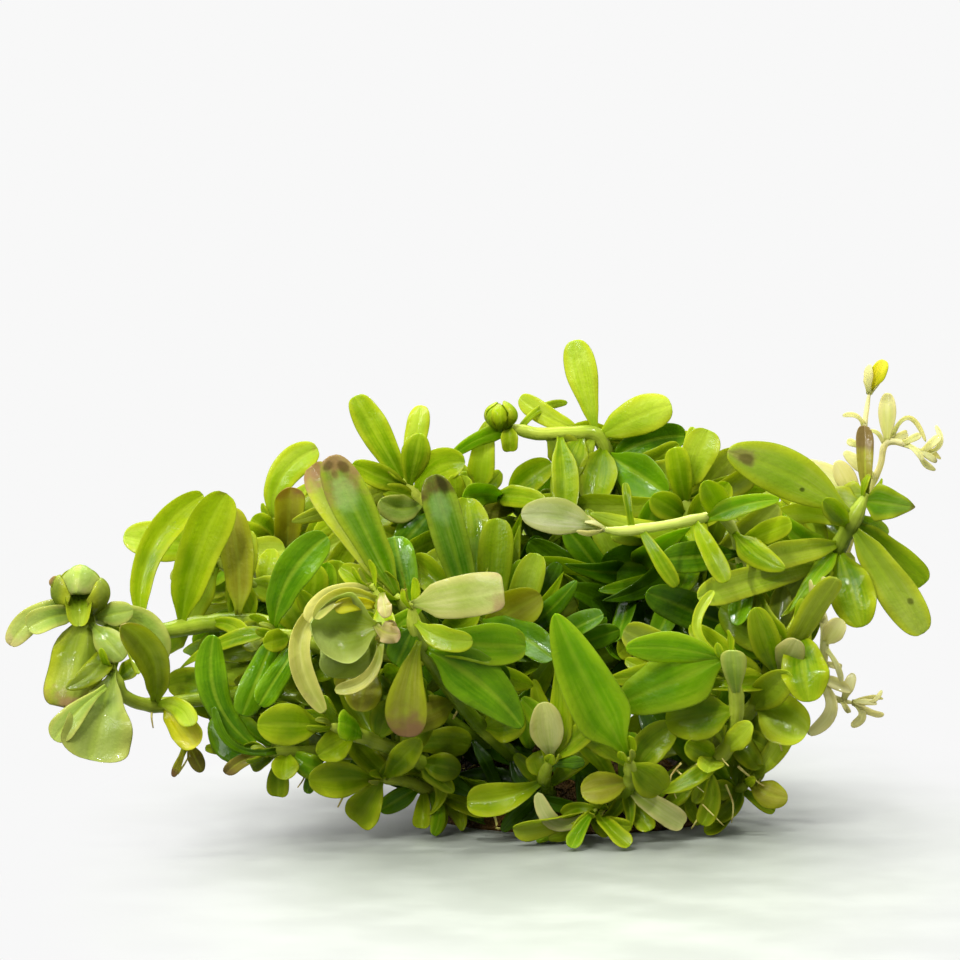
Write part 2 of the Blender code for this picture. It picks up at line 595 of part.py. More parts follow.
def front():
    return shoot("front", [(1.6, 0.9, -7.5), (2.6, 2.4, -10), (2.5, 4.0, -12)], 0.5, [
        leaf((2.5, 4.0), (-2.3, 13.4, -15), 3.4, "blade", bow=0.2, own="leaf_front_big"),
        leaf((2.3, 3.2), (-1.6, 7.4, -11), 2.0, "oval"),
        leaf((2.0, 2.6), (-0.6, 1.7, -11), 2.0, "oval", colour="leaf_olive"),
        leaf((2.6, 3.6), (4.8, 1.8, -9.5), 2.3, "oval"),
        leaf((2.3, 2.0), (6.1, -0.45, -9), 1.5, large=True, colour="leaf_pale"),
        leaf((2.0, 1.4), (3.8, 0.3, -7), 1.1, "oval", colour="leaf_deep"),
    ])


def front_left():
    return shoot("front_left", [(-2.6, 1.6, -7), (-3.0, 2.6, -9.5), (-2.5, 3.9, -11.5)], 0.45, [
        leaf((-2.5, 3.9), (-3.1, 7.6, -13.5), 2.1, "oval", large=True,
             colour="leaf_pale"),
        leaf((-2.9, 2.6), (-3.4, 4.4, -9.5), 1.9, "oval"),
        leaf((-2.5, 3.8), (0.4, 6.4, -12), 1.6, "oval"),
        leaf((-3.0, 2.5), (-8.0, 1.1, -9.5), 2.1, "spoon", bow=0.4, large=True),
        leaf((-2.7, 1.9), (-4.9, 4.2, -8), 1.0, "oval"),
    ])


def front_sprout():
    return shoot("front_sprout", [(-0.3, 0.5, -7.3), (0.4, 0.5, -9.6)], 0.4, [
        leaf((0.2, 0.4), (-3.4, 1.7, -10.5), 1.0, bow=1.5, large=True,
             colour="leaf_pale"),
        leaf((0.4, 0.6), (-1.8, 0.2, -8.5), 0.9, bow=-0.3),
        leaf((0.4, 0.3), (-1.05, -1.5, -10.2), 0.7, bow=-0.3),
        leaf((0.5, 0.7), (0.7, 2.3, -11.5), 1.5, "oval", colour="leaf_lime"),
        leaf((0.3, 0.2), (1.2, -1.2, -9.0), 1.2, "oval"),
    ])


def pale_top():
    return shoot("pale_top", [(9.8, 8, 6), (14, 15, 6.5), (17.4, 20.5, 5.5), (18.6, 22.8, 4.5),
                              (19.0, 24.4, 4), (20.2, 24.4, 4), (21.4, 23.7, 4)], 0.24, [
        leaf((19.0, 24.6), (19.1, 27.7, 4), 1.15, "oval"),
        leaf((19.1, 24.6), (20.4, 25.1, 5), 0.6),
        leaf((20.1, 24.4), (21.25, 25.0, 3.5), 0.5),
        leaf((19.1, 24.6), (21.6, 24.5, 5.5), 0.35, bow=1.6),
        leaf((20.2, 24.3), (21.4, 23.3, 3), 0.4, bow=0.2),
        leaf((21.3, 23.8), (22.5, 24.9, 4), 0.6),
        leaf((21.3, 23.8), (22.2, 25.6, 5), 0.4, bow=-0.8),
        leaf((17.6, 21.0), (13.4, 23.2, 6), 1.6, "oval"),
        leaf((17.4, 20.6), (15.8, 23.3, 4), 1.4, "oval"),
        leaf((18.2, 22.2), (16.3, 23.9, 4), 0.9, "oval"),
    ], colour="stem_pale")


def bud_stalk():
    return shoot("bud_stalk", [(16.6, 17.4, 3.6), (17.5, 20.8, 3), (17.6, 25.2, 3),
                               (18.0, 28.1, 3)], 0.2, [
        leaf((18.0, 28.0), (18.9, 29.8, 3), 1.1, "oval"),
        leaf((17.6, 25.6), (16.2, 26.2, 3), 0.35, bow=-0.4),
        leaf((17.6, 24.0), (16.5, 24.6, 2.6), 0.5),
        leaf((17.6, 25.4), (18.8, 24.4, 3), 0.3, bow=0.4),
    ], colour="stem_pale")


def pale_low():
    return shoot("pale_low", [(9.2, 4.6, 1.5), (12.6, 7.8, -1), (14.8, 9.6, -2.5),
                              (15.15, 12, -3.2), (14.9, 14.3, -3.6)], 0.3, [
        leaf((15.1, 12.9), (14.1, 14.3, -5), 0.9),
        leaf((15.2, 11.4), (16.3, 13.0, -4.5), 1.4, "oval"),
        leaf((15.0, 10.1), (16.3, 9.9, -3), 0.45),
        leaf((15.1, 11.3), (16.3, 8.9, -3.4), 0.4, bow=0.2),
        leaf((14.6, 9.4), (16.9, 8.3, -3), 0.8, "oval"),
        leaf((14.8, 9.2), (14.1, 5.5, -4), 0.9, bow=1.3),
    ], colour="stem_pale")


def pale_low_sprout():
    return shoot("pale_low_sprout", [(15.35, 8.1, -1.9), (16.3, 7.7, -2.2), (17.5, 7.5, -2.4)],
                 0.2, [
        leaf((16.4, 7.7), (17.05, 9.5, -2.5), 0.8, "oval"),
        leaf((16.3, 7.7), (16.8, 6.9, -2.5), 0.4),
        leaf((17.2, 7.5), (16.9, 6.05, -2.5), 0.6, bow=0.6),
        leaf((17.4, 7.5), (18.9, 8.4, -2.5), 0.3, bow=-0.35),
    ], colour="stem_pale")


def placed_shoots():
    return [left_long(), left_up(), left_low(), left_cup(), left_mid(), left_floor(), left_dark(),
            left_back(), red_tip(), curl(), star(), dark_tip(), cream(), lime(), top(), crown(),
            pale_stem(), right_main(), right_low(), right_front(), right_floor(), front(),
            front_left(), front_sprout(), pale_top(), bud_stalk(), pale_low(), pale_low_sprout()]


# The back and the inside of the clump, in the habit of the shoots in front

BACK_SHOOTS = {
    "back_left": [(-7.5, 4.5, 6), (-14, 8, 10), (-20, 11.5, 12), (-23, 15, 12.5)],
    "back_low_left": [(-8, 2.5, 6), (-14, 4.5, 11), (-19, 6.5, 14)],
    "back_mid": [(-3, 7.5, 7), (-6, 13, 12), (-9, 18, 14)],
    "back_top": [(1, 8, 8), (3, 15, 11), (4.5, 21, 11)],
    "back_right": [(5, 6.5, 8), (9, 12, 12), (12.5, 17.5, 13)],
    "back_low_right": [(7, 3, 8), (10.5, 5.5, 12), (12.5, 9, 14)],
    "back_low": [(-1, 3.5, 10), (-2, 6.5, 15), (-3.5, 10, 17.5)],
    "inner_right": [(2.8, 8.5, 0), (2.6, 11.8, -1.5), (2.9, 16.5, -1)],
}
BACK_LEAF_LENGTH = 6.4
BACK_LEAF_WIDTH = 2.5
BACK_PAIR_SPACING = 3.3
BACK_RADIUS = 0.5
BACK_LEAF_OUTWARD = 0.85
BACK_LEAF_ONWARD = 0.5
BACK_FOOT_STEP = 0.2
BACK_SEED = 7


def back_shoot(name, route, draw):
    """A stem with crossed pairs of leaves, as this plant grows them."""
    plan = shoot(name, route, BACK_RADIUS, [])
    line = smooth_route(plan["route"], ROUTE_STEPS)
    since_pair = BACK_PAIR_SPACING * 0.4
    turn = draw.uniform(0, math.pi)
    for start, end in zip(line, line[1:]):
        step = (end - start).length
        since_pair += step
        if since_pair < BACK_PAIR_SPACING:
            continue
        since_pair = 0.0
        turn += math.pi / 2
        along = (end - start).normalized()
        side = along.orthogonal().normalized()
        other = along.cross(side)
        for half_turn in (0, math.pi):
            out = side * math.cos(turn + half_turn) + other * math.sin(turn + half_turn)
            length = BACK_LEAF_LENGTH * draw.uniform(0.75, 1.1)
            way = out * BACK_LEAF_OUTWARD + along * BACK_LEAF_ONWARD
            tip = end + way.normalized() * length
            grown = leaf((0, 0), (0, 0, 0), BACK_LEAF_WIDTH * draw.uniform(0.8, 1.1),
                         draw.choice(("oval", "spoon")), bow=draw.uniform(-0.6, 0.6),
                         arch=draw.uniform(-0.2, 0.9), roll=draw.uniform(-70, 70))
            grown["foot_point"] = end - along * BACK_FOOT_STEP * (len(plan["leaves"]) % 2 + 1)
            grown["tip_point"] = tip
            plan["leaves"].append(grown)
    return plan


# Building

def nearest_on(line, across, up):
    def distance(point):
        seen_across, seen_up = as_seen(point)
        return math.hypot(seen_across - across, seen_up - up)
    return min(line, key=distance)


def foot_outside(foot, tip, radius):
    """The foot of a leaf that is a piece of its own, just clear of the stem."""
    return foot + (tip - foot).normalized() * (radius + GAP + FOOT_CLEARANCE)


def lies_free(grown, foot, tip, space, but):
    verts, faces = leaf_mesh(grown, foot, tip, LEAF_THICKNESS)
    if min(vert.z for vert in verts) < SURFACE_CLEARANCE:
        return None
    at, _ = leaf_line(foot, tip, grown["bow"], grown["arch"])
    middle = [at(step / MIDLINE_STEPS) for step in range(MIDLINE_STEPS + 1)]
    wider = spread(verts, middle, GAP)
    if not space.is_free(wider, faces, but):
        return None
    return verts, faces


def place_leaf(grown, plan, line, space):
    """Finds a depth at which the leaf lies clear of the pieces round it.

    No two leaves start at the same point of the stem's line."""
    hidden = "tip_point" in grown
    foot = grown["foot_point"] if hidden else nearest_on(line, *grown["foot"])
    but = () if grown["own"] else (plan["name"],)
    for step in (0,) if hidden else DEPTH_STEPS:
        if hidden:
            tip = grown["tip_point"]
            if not inside_outline(*as_seen(tip)):
                return None
        else:
            across, up, back = grown["tip"]
            tip = seen(across, up, back + step)
        start = foot_outside(foot, tip, plan["radius"]) if grown["own"] else foot
        found = lies_free(grown, start, tip, space, but)
        if found:
            if not hidden:
                line.remove(foot)
            return found
    if not hidden:
        print("no room for", plan["name"], grown["own"], grown["tip"])
    return None


def bud_mesh(bud):
    """A closed bud of young leaves: a round lump of six sides."""
    radius, across, up, back = bud
    centre = seen(across, up, back)
    verts = []
    faces = []
    rings = ((-0.8, 0.55), (-0.1, 1.0), (0.6, 0.7))
    sides = 6
    for height, share in rings:
        for side in range(sides):
            angle = 2 * math.pi * side / sides
            verts.append(centre + Vector((math.cos(angle) * share, math.sin(angle) * share,
                                          height)) * radius)
    for ring in range(len(rings) - 1):
        for side in range(sides):
            a = ring * sides + side
            b = ring * sides + (side + 1) % sides
            faces.append((a, b, b + sides, a + sides))
    faces.append(tuple(reversed(range(sides))))
    faces.append(tuple((len(rings) - 1) * sides + side for side in range(sides)))
    return verts, faces


def join(target, parts):
    """Grows the parts onto the target one after another, as one closed body."""
    for part in parts:
        union = target.modifiers.new("grown_together", "BOOLEAN")
        union.operation = "UNION"
        union.solver = "MANIFOLD"
        union.object = part
        depsgraph = bpy.context.evaluated_depsgraph_get()
        solid = bpy.data.meshes.new_from_object(target.evaluated_get(depsgraph))
        target.modifiers.clear()
        target.data = solid
        bpy.data.objects.remove(part, do_unlink=True)


def build_stem(plan, space):
    line = without_straight_points(smooth_route(plan["route"], ROUTE_STEPS), STEM_TOLERANCE)
    verts, faces = tube_mesh(line, plan["radius"], plan["radius"] * 0.8, STEM_SIDES)
    stem = make_object(plan["name"], verts, faces, plan["colour"])
    blocked = tube_mesh(line, plan["radius"] + GAP, plan["radius"] * 0.8 + GAP, STEM_SIDES)
    if not space.is_free(*blocked):
        print("stem not free", plan["name"], [
            owner for owner, tree in space.taken
            if BVHTree.FromPolygons(*blocked).overlap(tree)])
    space.add(plan["name"], verts, faces)
    return stem


def build_leaves(plan, stem, space):
    line = smooth_route(plan["route"], FINE_ROUTE_STEPS)[:-1]
    parts = []
    if plan["bud"]:
        verts, faces = bud_mesh(plan["bud"])
        space.add(plan["name"], verts, faces)
        parts.append(make_object("bud", verts, faces, plan["colour"]))
    for grown in plan["leaves"]:
        found = place_leaf(grown, plan, line, space)
        if not found:
            continue
        verts, faces = found
        name = grown["own"] or "leaf_part"
        made = make_object(name, verts, faces, grown["colour"])
        space.add(grown["own"] or plan["name"], verts, faces)
        if not grown["own"]:
            parts.append(made)
    if parts:
        join(stem, parts)


def root_mass(space):
    """The lump of matted roots: a low, uneven mound, flat below."""
    draw = random.Random(3)
    sides = 14
    rings = ((0.0, 0.94), (0.32, 1.0), (0.66, 0.86), (0.9, 0.55))
    verts = []
    faces = []
    for height, share in rings:
        for side in range(sides):
            angle = 2 * math.pi * side / sides
            uneven = 1.0 if height == 0.0 else draw.uniform(0.88, 1.06)
            verts.append(Vector((
                ROOT_MASS_CENTRE[0] + math.cos(angle) * ROOT_MASS_WIDTH * 0.5 * share * uneven,
                ROOT_MASS_CENTRE[1] + math.sin(angle) * ROOT_MASS_DEPTH * 0.5 * share * uneven,
                ROOT_MASS_HEIGHT * height)))
    for ring in range(len(rings) - 1):
        for side in range(sides):
            a = ring * sides + side
            b = ring * sides + (side + 1) % sides
            faces.append((a, b, b + sides, a + sides))
    verts.append(Vector((*ROOT_MASS_CENTRE, ROOT_MASS_HEIGHT)))
    end = (len(rings) - 1) * sides
    for side in range(sides):
        faces.append((end + side, end + (side + 1) % sides, len(verts) - 1))
    faces.append(tuple(reversed(range(sides))))
    made = make_object("root_mass", verts, faces, "root_brown")
    space.add("root_mass", verts, faces)
    return made


def main():
    clear_scene()
    space = Space()
    root_mass(space)
    plans = placed_shoots()
    draw = random.Random(BACK_SEED)
    for name, route in BACK_SHOOTS.items():
        plans.append(back_shoot(name, route, draw))
    stems = [build_stem(plan, space) for plan in plans]
    for plan, stem in zip(plans, stems):
        build_leaves(plan, stem, space)
    for item in bpy.data.objects:
        item.data.transform(Matrix.Scale(MM, 4))


main()
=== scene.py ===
import math
import random
import bpy
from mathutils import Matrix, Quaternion, Vector, noise
from mathutils.bvhtree import BVHTree


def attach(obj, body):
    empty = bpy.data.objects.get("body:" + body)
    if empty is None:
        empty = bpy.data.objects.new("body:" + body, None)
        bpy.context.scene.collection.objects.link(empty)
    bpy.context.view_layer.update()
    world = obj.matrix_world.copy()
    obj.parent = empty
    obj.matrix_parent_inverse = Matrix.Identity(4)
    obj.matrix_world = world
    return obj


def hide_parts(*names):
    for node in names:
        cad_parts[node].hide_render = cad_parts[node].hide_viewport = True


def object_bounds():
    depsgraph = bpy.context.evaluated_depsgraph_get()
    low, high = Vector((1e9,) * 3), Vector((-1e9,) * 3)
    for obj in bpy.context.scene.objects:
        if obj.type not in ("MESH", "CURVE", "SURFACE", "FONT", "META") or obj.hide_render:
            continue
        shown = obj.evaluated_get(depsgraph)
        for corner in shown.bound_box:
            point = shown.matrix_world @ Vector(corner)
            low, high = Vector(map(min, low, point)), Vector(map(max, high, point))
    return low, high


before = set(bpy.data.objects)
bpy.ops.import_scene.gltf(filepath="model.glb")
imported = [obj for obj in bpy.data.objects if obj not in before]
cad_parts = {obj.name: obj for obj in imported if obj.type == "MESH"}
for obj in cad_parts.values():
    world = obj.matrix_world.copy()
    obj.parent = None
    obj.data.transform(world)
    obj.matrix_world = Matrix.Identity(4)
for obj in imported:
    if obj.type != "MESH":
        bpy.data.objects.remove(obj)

# A clump of rotala shoots on one lump of roots. Everything below is in millimetres until it becomes a mesh.
mm = 0.001
cadLow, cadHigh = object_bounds()

view = {
    "eye": Vector((-7.15, -257.1, 44.55)),  # where the camera stands, mm
    "down": 5.0,                            # degrees that it looks down
    "lens": 150.0, "sensor": 36.0,
    "near": 0.01, "far": 20.0,              # what it takes in, m
}
clear = {
    "gap": 0.32, "foot": 0.25, "surface": 0.05,
    "depthSteps": (0, -0.6, 0.6, -1.2, 1.2, -1.8, 1.8, -2.5, 2.5, -3.3, 3.3, -4.2, 4.2, -5.2, 5.2),
}

# Outline of the blades: width at the foot, place of the widest point, bluntness of the tip
leafShapes = {
    "spoon": (0.32, 0.74, 2.4),
    "strap": (0.62, 0.70, 2.5),
    "oval": (0.34, 0.52, 2.2),
    "blade": (0.60, 0.36, 1.8),
    "pointed": (0.75, 0.22, 1.25),
    "cut": (0.66, 0.5, 5.0),
    "scoop": (0.22, 0.8, 2.0),
}
plainBlade = {
    "thick": 0.42, "footHalf": 0.22, "flatBack": 0.4, "narrow": 1.3, "frameStep": 0.02,
    "sturdyStations": (0.0, 0.34, 0.68, 0.91), "stations": (0.0, 0.52, 0.88), "narrowStations": (0.0, 0.64),
}

# What the dense body of the clump covers from the front, and the gaps that show through it
body = {
    "outline": (
        (-27.0, 8.0), (-26.6, 12.5), (-26.0, 18.0), (-23.8, 18.8), (-20.5, 19.6), (-17.5, 22.3),
        (-14.0, 22.2), (-11.0, 22.6), (-8.0, 23.2), (-7.0, 20.8), (-4.5, 20.6), (-2.5, 21.2),
        (-0.8, 24.0), (1.0, 25.2), (5.5, 25.0), (8.2, 24.6), (12.0, 23.5), (15.0, 21.5), (17.4, 21.2),
        (17.2, 18.0), (15.2, 14.0), (14.2, 9.0), (12.8, 6.0), (10.8, 4.0), (9.2, 2.0), (8.6, -2.0),
        (-10.0, -2.0), (-13.0, 1.0), (-17.0, 2.8), (-20.0, 4.4), (-24.0, 6.0),
    ),
    "gaps": (
        (-22.3, 14.2, 0.9), (-25.6, 11.8, 0.7), (-25.4, 9.2, 0.7), (10.4, 19.9, 0.7), (-6.0, 20.3, 0.7),
        (-11.0, 22.2, 0.6), (-11.4, 1.8, 1.0), (-24.7, 5.6, 0.7), (-5.6, 23.2, 1.2), (-4.2, 24.2, 0.8),
    ),
}


# Places and lines

def seen(across, up, back):  # the point that looks to be at (across, up) from the front
    ray = Vector((across, 0.0, up)) - view["eye"]
    return view["eye"] + ray * ((back - view["eye"].y) / ray.y)


def asSeen(point):
    ray = point - view["eye"]
    onPlane = view["eye"] + ray * (-view["eye"].y / ray.y)
    return onPlane.x, onPlane.z


def insideBody(across, up):
    inside = False
    previous = body["outline"][-1]
    for corner in body["outline"]:
        if (corner[1] > up) != (previous[1] > up):
            share = (up - corner[1]) / (previous[1] - corner[1])
            if across < corner[0] + share * (previous[0] - corner[0]):
                inside = not inside
        previous = corner
    return inside and all(math.hypot(across - x, up - z) >= wide for x, z, wide in body["gaps"])


def insideBox(point):  # no leaf grows out past the solids
    return all(low < place * mm < high for low, place, high in zip(cadLow, point, cadHigh))


def smoothRoute(points, steps):
    line = []
    last = len(points) - 1
    for index in range(last):
        start, end = points[index], points[index + 1]
        bendIn = (end - points[max(index - 1, 0)]) * 0.5
        bendOut = (points[min(index + 2, last)] - start) * 0.5
        for step in range(steps):
            t = step / steps
            line.append(
                start * (2 * t ** 3 - 3 * t ** 2 + 1) + bendIn * (t ** 3 - 2 * t ** 2 + t)
                + end * (3 * t ** 2 - 2 * t ** 3) + bendOut * (t ** 3 - t ** 2))
    line.append(points[-1])
    return line


def stemLine(plan, steps):
    return smoothRoute([seen(*place) for place in plan["route"]], steps)


def withoutStraightPoints(line, tolerance):
    start, end = line[0], line[-1]
    along = (end - start).normalized()
    off = [((point - start) - along * (point - start).dot(along)).length for point in line]
    furthest = max(range(len(line)), key=lambda index: off[index])
    if off[furthest] <= tolerance:
        return [start, end]
    first = withoutStraightPoints(line[:furthest + 1], tolerance)
    return first[:-1] + withoutStraightPoints(line[furthest:], tolerance)


def smoothStep(low, high, value):
    t = min(max((value - low) / (high - low), 0.0), 1.0)
    return t * t * (3 - 2 * t)


# Forms that are made of rings of points

def ringFaces(rings, around):
    return [(ring * around + corner, ring * around + (corner + 1) % around,
             (ring + 1) * around + (corner + 1) % around, (ring + 1) * around + corner)
            for ring in range(rings - 1) for corner in range(around)]


def closedFaces(rings, around, pointed=False):  # pointed: the last ring closes on one more point
    last = (rings - 1) * around
    foot = tuple(reversed(range(around)))
    if pointed:
        fan = [(last + corner, last + (corner + 1) % around, last + around) for corner in range(around)]
        return ringFaces(rings, around) + fan + [foot]
    return ringFaces(rings, around) + [foot, tuple(last + corner for corner in range(around))]


def joinForm(verts, faces, moreVerts, moreFaces):
    first = len(verts)
    verts.extend(moreVerts)
    faces.extend(tuple(index + first for index in face) for face in moreFaces)


def tubeForm(line, radiusStart, radiusEnd, sides):
    verts = []
    across = (line[1] - line[0]).orthogonal().normalized()
    last = len(line) - 1
    for index, point in enumerate(line):
        along = (line[min(index + 1, last)] - line[max(index - 1, 0)]).normalized()
        across = (across - along * across.dot(along)).normalized()
        other = along.cross(across)
        radius = radiusStart + (radiusEnd - radiusStart) * index / last
        for side in range(sides):
            angle = 2 * math.pi * side / sides
            verts.append(point + (across * math.cos(angle) + other * math.sin(angle)) * radius)
    return verts, closedFaces(len(line), sides)


# Plain leaves, the same as the solids, which say where there is room

def widthShare(kind, s):
    foot, widest, blunt = leafShapes[kind]
    if s <= widest:
        t = s / widest
        return foot + (1 - foot) * t * t * (3 - 2 * t)
    return max(0.0, 1 - ((s - widest) / (1 - widest)) ** blunt) ** (1 / blunt)


def leafLine(foot, tip, bow, arch, facing=None):
    towards = facing or (view["eye"] - (foot + tip) * 0.5).normalized()
    left = towards.cross(tip - foot).normalized()
    bend = (foot + tip) * 0.5 + (left * bow + towards * arch) * 2

    def at(s):
        return foot * (1 - s) ** 2 + bend * 2 * s * (1 - s) + tip * s * s
    return at, towards


def leafFrame(at, towards, s, turn):  # the leaf's own side and face directions at one place
    step = plainBlade["frameStep"]
    along = (at(min(s + step, 1.0)) - at(max(s - step, 0.0))).normalized()
    side = towards.cross(along).normalized()
    face = along.cross(side).normalized()
    turned = side * math.cos(turn) + face * math.sin(turn)
    return turned, along.cross(turned).normalized()


def plainLeaf(plan, foot, tip):
    at, towards = leafLine(foot, tip, plan["bow"], plan["arch"])
    verts = []
    thick = plainBlade["thick"] * 0.5
    for s in plan["stations"]:
        side, face = leafFrame(at, towards, s, math.radians(plan["roll"]))
        half = plan["wide"] * 0.5 * widthShare(plan["kind"], s)
        if s == 0.0 and not plan["node"]:
            half = min(half, plainBlade["footHalf"])
        sunk = face * (0.0 if plan["sturdy"] else -thick * plainBlade["flatBack"])
        corners = [side * half + sunk, face * thick, side * -half + sunk]
        if plan["sturdy"]:
            corners.append(face * -thick)
        verts.extend(at(s) + corner for corner in corners)
    verts.append(at(1.0))
    return verts, closedFaces(len(plan["stations"]), len(corners), pointed=True)


class Space:
    def __init__(self):
        self.taken, self.forms = [], []

    def add(self, owner, verts, faces, covered=False):  # covered: leaves grow over it in the dense body
        self.taken.append((owner, BVHTree.FromPolygons(verts, faces)))
        self.forms.append((covered, verts, faces))

    def isFree(self, verts, faces, but=()):
        tree = BVHTree.FromPolygons(verts, faces)
        return not any(owner not in but and tree.overlap(other) for owner, other in self.taken)


def spread(verts, middle, gap):
    moved = []
    for vert in verts:
        nearest = min(middle, key=lambda point: (point - vert).length_squared)
        moved.append(vert + (vert - nearest).normalized() * gap)
    return moved


# The plan of a leaf: foot and tip as seen from the front, and how the fine blade is shaped and coloured

def leaf(foot, tip, wide, kind="strap", bow=0.0, arch=0.4, roll=0.0, node="", large=0, look="green", **shape):
    sturdy = bool(node or large)
    stations = plainBlade["sturdyStations" if sturdy else "stations"]
    if wide < plainBlade["narrow"]:
        stations = plainBlade["narrowStations"]
    return {"foot": foot, "tip": tip, "wide": wide, "kind": kind, "bow": bow, "arch": arch, "roll": roll,
            "node": node, "look": look, "stations": stations, "sturdy": sturdy, **shape}


def looseLeaf(wide, kind, **shape):  # its foot and tip are found later
    return leaf(None, None, wide, kind, **shape)


def drawnLeaf(style, draw, share=1.0, **shape):
    wide = draw.uniform(*style["wide"]) * share
    kind = draw.choice(style["kinds"])
    bends = {name: draw.uniform(*style[name]) for name in ("bow", "arch", "roll")}
    return looseLeaf(wide, kind, **bends, **shape)


# The shoots as the front view shows them. Every place is (across, up, back) in mm, and a leaf's foot is on
# the stem.

allShoots = []


def addShoot(name, radius, route, leaves, extras=(), stem="green", **more):  # extras: feet with a depth
    allShoots.append({
        "node": "shoot_" + name, "radius": radius, "stem": stem, "route": route, "leaves": leaves,
        "extras": list(extras), "inner": [], **more})


addShoot("left_long", 0.6,
    [(-8, 5.5, 1), (-13, 9, -1), (-18, 11.8, -2.5), (-21.5, 12.8, -3.5), (-25, 12.7, -4.5), (-28.5, 12.2, -6),
     (-31, 12.9, -8), (-32.8, 13.8, -10)], [
    leaf((-28.9, 12.6), (-25.0, 21.1, -3), 2.0, bow=1.6, node="leaf_arch_outer", fold=0.35, scorch=0.12),
    leaf((-26.6, 12.9), (-23.5, 21.2, -6), 2.9, bow=0.5, large=1, fold=0.4, scorch=0.1),
    leaf((-23.4, 13.0), (-22.3, 18.9, -1), 2.0, arch=0.2, roll=15),
    leaf((-33.2, 13.6), (-37.6, 11.3, -11), 1.6, bow=-0.9, large=1, look="misty", scorch=0.45),
    leaf((-32.6, 13.2), (-34.0, 7.2, -13), 3.6, "strap", node="leaf_far_left_broad", look="muted",
         fineKind="cut", cup=-0.45, fold=-0.1, twist=12, ripple=0.16, scorch=0.55),
    leaf((-31.8, 13.2), (-28.1, 10.0, -9), 2.2, bow=1.3, large=1, look="misty"),
    leaf((-25.7, 12.7), (-27.8, 10.7, -3), 1.7, "oval", bow=-0.3),
    leaf((-24.0, 12.7), (-25.2, 9.9, -2), 1.4, "oval"),
    leaf((-21.8, 12.8), (-22.7, 15.4, -3), 1.5, "oval"),
], [
    leaf((-22.8, 13.3, -4.5), (-23.4, 20.2, -3.5), 2.2, bow=-0.3, large=1, look="olive", scorch=0.2),
    leaf((-30.8, 11.7, -10.0), (-34.0, 8.5, -14.9), 1.6, "blade", bow=0.5, large=1, look="muted", roll=20,
         dim=0.6),
    leaf((-32.3, 12.7, -10.6), (-30.2, 10.4, -12.6), 1.9, "oval", large=1, look="misty", dim=0.45),
    leaf((-32.0, 13.1, -9.6), (-29.6, 13.6, -9.9), 1.6, "oval", large=1, look="misty"),
    leaf((-33.2, 13.3, -10.4), (-36.4, 12.4, -11.6), 1.6, bow=-0.3, large=1, look="misty"),
    leaf((-31.4, 12.8, -8.6), (-29.3, 9.4, -11.5), 0.7, bow=0.5, look="lime"),
], bud=(1.55, -33.0, 14.9, -10), hood=True)

addShoot("left_up", 0.5, [(-9, 6.5, 5), (-15, 10.5, 4), (-20.5, 14.2, 2), (-23.6, 16.6, 1), (-25, 17.9, 1)], [
    leaf((-24.8, 17.7), (-30.2, 18.4, 0), 2.6, "oval", node="leaf_left_round", look="lime"),
    leaf((-24.2, 17.1), (-27.0, 15.3, 0), 1.7, "spoon", look="misty"),
    leaf((-23.7, 16.7), (-24.5, 20.5, -1), 2.2),
    leaf((-21.8, 15.2), (-23.6, 14.3, -1), 1.6, "oval"),
    leaf((-21.2, 14.7), (-20.6, 17.6, 3), 1.6, "oval"),
])

addShoot("left_low", 0.5,
    [(-8.5, 4, -1), (-14, 6.6, -3), (-20, 7.9, -5), (-25, 7.8, -7), (-28.3, 7.4, -9), (-30.3, 8.1, -11),
     (-31.0, 10.1, -12)], [
    leaf((-28.3, 7.6), (-30.4, 12.6, -13), 2.0, bow=-1.0, large=1, look="muted", scorch=0.35, fold=0.7),
    leaf((-31.0, 9.6), (-32.5, 3.8, -14), 4.4, "spoon", arch=0.8, node="leaf_left_folded", look="misty",
         fineKind="scoop", fold=0.5, dim=0.35, cup=-0.1, twist=-24),
    leaf((-27.6, 7.5), (-25.5, 4.7, -11.5), 1.8, large=1, look="yellow"),
    leaf((-24.3, 7.9), (-27.4, 8.6, -5), 2.2, "oval", bow=-0.5),
    leaf((-21.5, 7.9), (-24.8, 6.6, -6), 2.0, "oval"),
    leaf((-30.6, 8.9), (-29.4, 10.2, -9), 1.2, "oval"),
], [
    leaf((-31.4, 8.6, -14.4), (-34.8, 5.1, -15.6), 1.7, "oval", bow=-0.2, large=1, look="misty",
         fineKind="scoop", cup=0, ripple=0.05),
    leaf((-28.0, 7.5, -9.5), (-25.9, 6.0, -12.5), 1.4, bow=0.5, look="lime"),
    leaf((-26.1, 5.0, -9.0), (-25.2, 3.0, -9.5), 1.0, "oval", look="burnt", scorch=0.5),
    leaf((-26.3, 4.6, -9.0), (-27.1, 2.7, -9.2), 0.5, look="olive", scorch=0.8),
])

